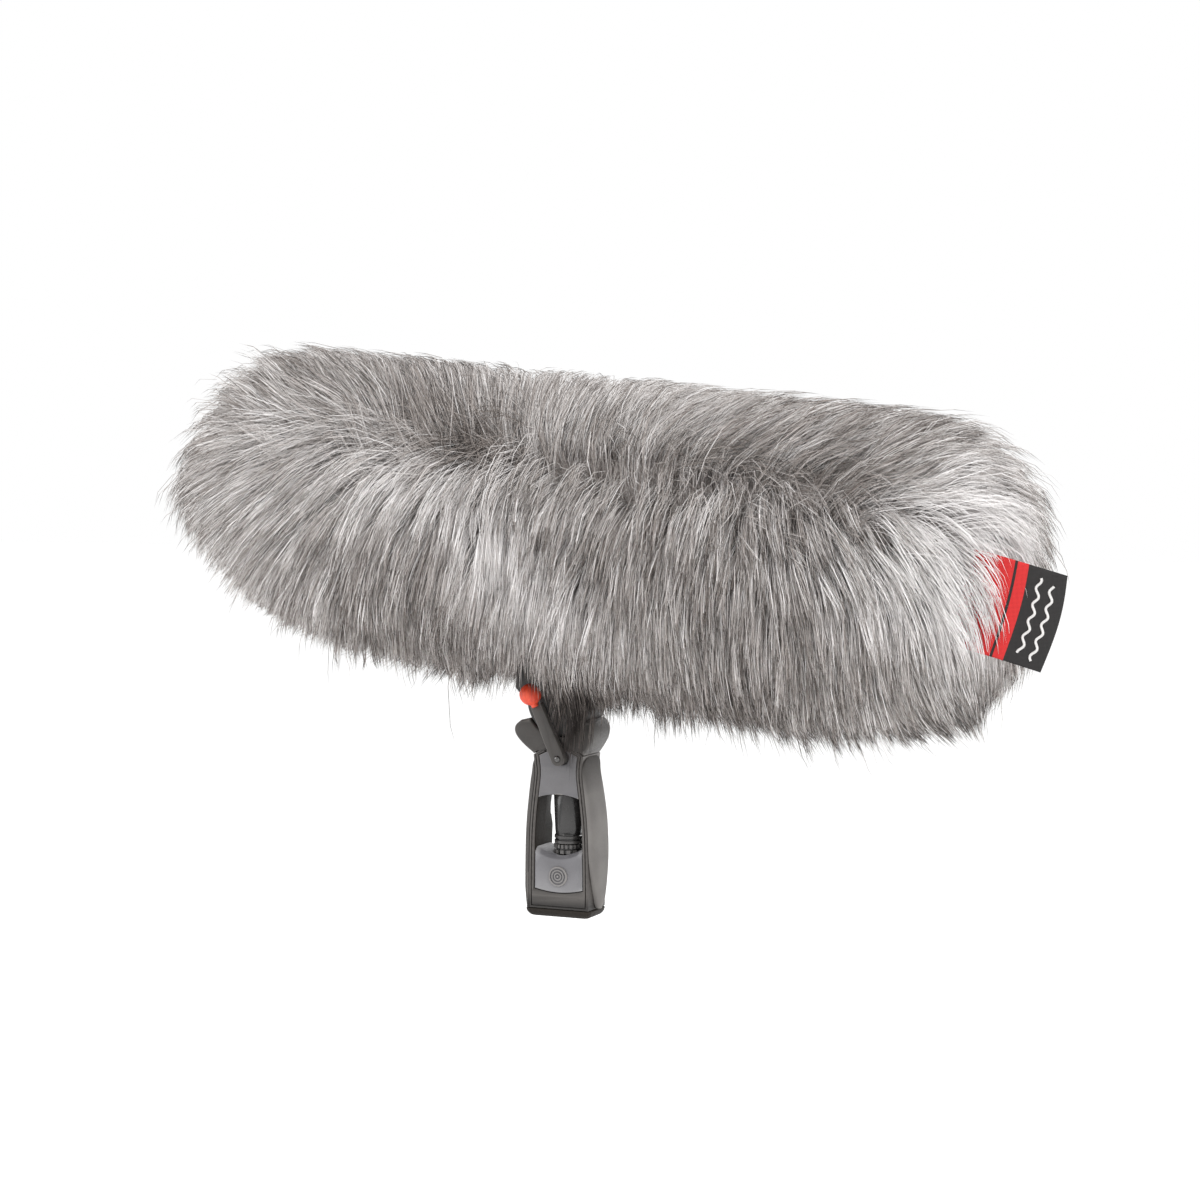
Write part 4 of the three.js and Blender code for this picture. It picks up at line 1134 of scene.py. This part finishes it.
def strand_mesh(name, hairs, tone, contrast, random):
    """Hairs as closed three-sided strands that taper to a point, each with a tone for every stretch."""
    count = len(hairs)
    direction = unit(np.gradient(hairs, axis=1))
    across = unit(np.cross(direction, unit(random.normal(size=(count, 1, 3)))))
    aside = np.cross(direction, across)
    width = HAIR_RADIUS * (1 + 0.25 * random.normal(size=count)).clip(0.5, 1.6)
    rings = []
    for k in range(STEPS):
        for corner in range(3):
            angle = 2 * math.pi * corner / 3
            offset = across[:, k] * math.cos(angle) + aside[:, k] * math.sin(angle)
            rings.append(hairs[:, k] + offset * (width * WIDTHS[k])[:, None])
    rings.append(hairs[:, -1])
    points = np.stack(rings, axis=1)
    per_hair = 3 * STEPS + 1

    faces = [(2, 1, 0)]
    stretch = [0]
    for k in range(STEPS - 1):
        for corner in range(3):
            after = (corner + 1) % 3
            faces.append((3 * k + corner, 3 * k + after, 3 * k + 3 + after, 3 * k + 3 + corner))
            stretch.append(k)
    for corner in range(3):
        last = 3 * (STEPS - 1)
        faces.append((last + corner, last + (corner + 1) % 3, per_hair - 1))
        stretch.append(STEPS - 1)
    sizes = np.array([len(face) for face in faces])
    pattern = np.concatenate([np.array(face) for face in faces])
    loops = (pattern[None] + per_hair * np.arange(count)[:, None]).ravel()
    starts = np.concatenate([[0], np.cumsum(sizes)[:-1]])
    face_starts = (starts[None] + len(pattern) * np.arange(count)[:, None]).ravel()
    guard = np.where(random.uniform(size=count) < GUARD_HAIRS, 1.0, 0.25) * contrast
    shade = tone[:, None] + guard[:, None] * np.array(DARKENING)[np.array(stretch)][None]
    slots = np.clip(np.rint(shade), 0, len(HAIR_TONES) - 1).astype(np.int32)

    mesh = bpy.data.meshes.new(name)
    mesh.vertices.add(count * per_hair)
    mesh.vertices.foreach_set("co", points.astype(np.float32).ravel())
    mesh.loops.add(len(loops))
    mesh.loops.foreach_set("vertex_index", loops.astype(np.int32))
    mesh.polygons.add(len(face_starts))
    mesh.polygons.foreach_set("loop_start", face_starts.astype(np.int32))
    mesh.polygons.foreach_set("material_index", slots.ravel())
    mesh.polygons.foreach_set("use_smooth", np.ones(len(face_starts), bool))
    mesh.update()
    return mesh


def hair_materials():
    made = []
    for k, levels in enumerate(HAIR_TONES):
        hair = Nodes(f"hair_{k}")
        hair.shader.inputs["Base Color"].default_value = colour(*levels)
        hair.shader.inputs["Roughness"].default_value = 0.6
        hair.shader.inputs["Specular IOR Level"].default_value = 0.3
        made.append(hair.material)
    return made


def add_pile():
    hairs, tone, contrast, random = grow_pile()
    kept = clear_of_openings(hairs)
    hairs, tone, contrast = hairs[kept], tone[kept], contrast[kept]
    materials = hair_materials()
    along = hairs[:, 0, 0] - MIDDLE
    end = CORE_HALF + 4 * MM
    near = hairs[:, 0, 1] < 0
    parts = {}
    for name, half in (("near", near), ("far", ~near)):
        parts[f"fur_pile_{name}_front_end"] = half & (along < -end)
        parts[f"fur_pile_{name}_rear_end"] = half & (along > end)
        for k in range(PILE_BANDS):
            low = -end + 2 * end * k / PILE_BANDS
            high = low + 2 * end / PILE_BANDS
            parts[f"fur_pile_{name}_{k + 1}"] = half & (along >= low) & (along < high)
    for name, chosen in parts.items():
        mesh = strand_mesh(name, hairs[chosen], tone[chosen], contrast[chosen], random)
        piece = show(name, mesh, materials, "basket", LEANING)


# The dense undercoat that the long hairs stand in. It is open for the neck and along the zip.
COAT_COLUMNS = 132
COAT_ROWS = 190


def undercoat_material():
    made = Nodes("undercoat")
    vector = made.place(scale=(1, 1, 0.12))
    streaks = made.noise(vector, 420, 5, 0.65)
    # Darker than the long hair's roots, partly as painted shade deep in the coat; the streaks are its own.
    tones = [(0.25, colour(96, 89, 85)), (0.5, colour(150, 143, 139)), (0.8, colour(205, 200, 198))]
    made.link(made.ramp(streaks, tones), made.shader.inputs["Base Color"])
    made.shader.inputs["Roughness"].default_value = 0.9
    made.bump(streaks, 0.9, 0.002)
    return made.material


def add_undercoat():
    mesh = bpy.data.meshes.new("fur_undercoat")
    shape = bmesh.new()
    rows = []
    places, rings = side_line(COAT_RADIUS, COAT_ROWS + 1)
    for x, ring in zip(MIDDLE + places[1:-1], rings[1:-1]):
        row = []
        for j in range(COAT_COLUMNS):
            turn = 2 * math.pi * (j + 0.5) / COAT_COLUMNS
            off = ring * (1 + 0.018 * math.sin(9 * turn + 90 * x) * math.sin(130 * x + 3 * turn))
            row.append(shape.verts.new((x, -off * math.sin(turn), AXIS_HEIGHT - off * math.cos(turn))))
        rows.append(row)
    poles = [shape.verts.new((MIDDLE + x, 0, AXIS_HEIGHT)) for x in (places[0], places[-1])]
    half_x, half_y = NECK_OPENING
    start, end, half = ZIP_SLOT

    def open_at(corners):
        middle = sum((corner.co for corner in corners), Vector()) / len(corners)
        if middle.z > AXIS_HEIGHT:
            return False
        hole = abs(middle.x) < half_x and abs(middle.y) < half_y
        return hole or (start < middle.x < end and abs(middle.y) < half)

    for j in range(COAT_COLUMNS):
        after = (j + 1) % COAT_COLUMNS
        for first, second in zip(rows, rows[1:]):
            corners = (first[j], first[after], second[after], second[j])
            if not open_at(corners):
                shape.faces.new(corners)
        shape.faces.new((poles[0], rows[0][after], rows[0][j]))
        shape.faces.new((poles[1], rows[-1][j], rows[-1][after]))
    bmesh.ops.recalc_face_normals(shape, faces=shape.faces)
    for face in shape.faces:
        face.smooth = True
    shape.to_mesh(mesh)
    shape.free()
    piece = show("fur_undercoat", mesh, [undercoat_material()], "basket", LEANING)
    thickened(piece, COAT_RADIUS - CLOTH_RADIUS - 1 * MM, -1)
    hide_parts("fur_sleeve", "fur_panel_front", "fur_panel_rear")


# ---------------------------------------------------------------- stage

FLOOR_HEIGHT = -0.30


def add_stage():
    material = moulded("paper", colour(243, 243, 243), colour(248, 248, 248), 0.9, grain=300, bump=0.02)
    shader = material.node_tree.nodes["Principled BSDF"]
    shader.inputs["Emission Color"].default_value = (1, 1, 1, 1)
    shader.inputs["Emission Strength"].default_value = 0.12
    mesh = bpy.data.meshes.new("floor")
    side = 12
    mesh.from_pydata([(-side, -side, FLOOR_HEIGHT), (side, -side, FLOOR_HEIGHT), (side, side, FLOOR_HEIGHT),
                      (-side, side, FLOOR_HEIGHT)], [], [(0, 1, 2, 3)])
    mesh.materials.append(material)
    placed("floor", mesh)

    world = bpy.data.worlds.new("studio")
    world.use_nodes = True
    background = world.node_tree.nodes["Background"]
    background.inputs["Color"].default_value = (1, 1, 1, 1)
    background.inputs["Strength"].default_value = 1.0
    bpy.context.scene.world = world


def add_light(name, place, target, size, power):
    data = bpy.data.lights.new(name, "AREA")
    data.size = size
    data.energy = power
    light = placed(name, data)
    light.location = place
    light.rotation_euler = (Vector(target) - Vector(place)).to_track_quat("-Z", "Y").to_euler()


def add_lights():
    heart = (0, 0, 0.2)
    add_light("key", (1.5, -1.2, 1.5), heart, 1.0, 32)
    add_light("fill", (-1.8, -1.2, 0.9), heart, 1.6, 22)
    add_light("rim", (0.6, 1.8, 1.4), heart, 1.4, 26)


bpy.context.scene.view_settings.view_transform = "Standard"
add_camera()
add_stage()
add_lights()
add_grip()
add_undercoat()
add_pile()
add_label()
finish_cad_nodes()
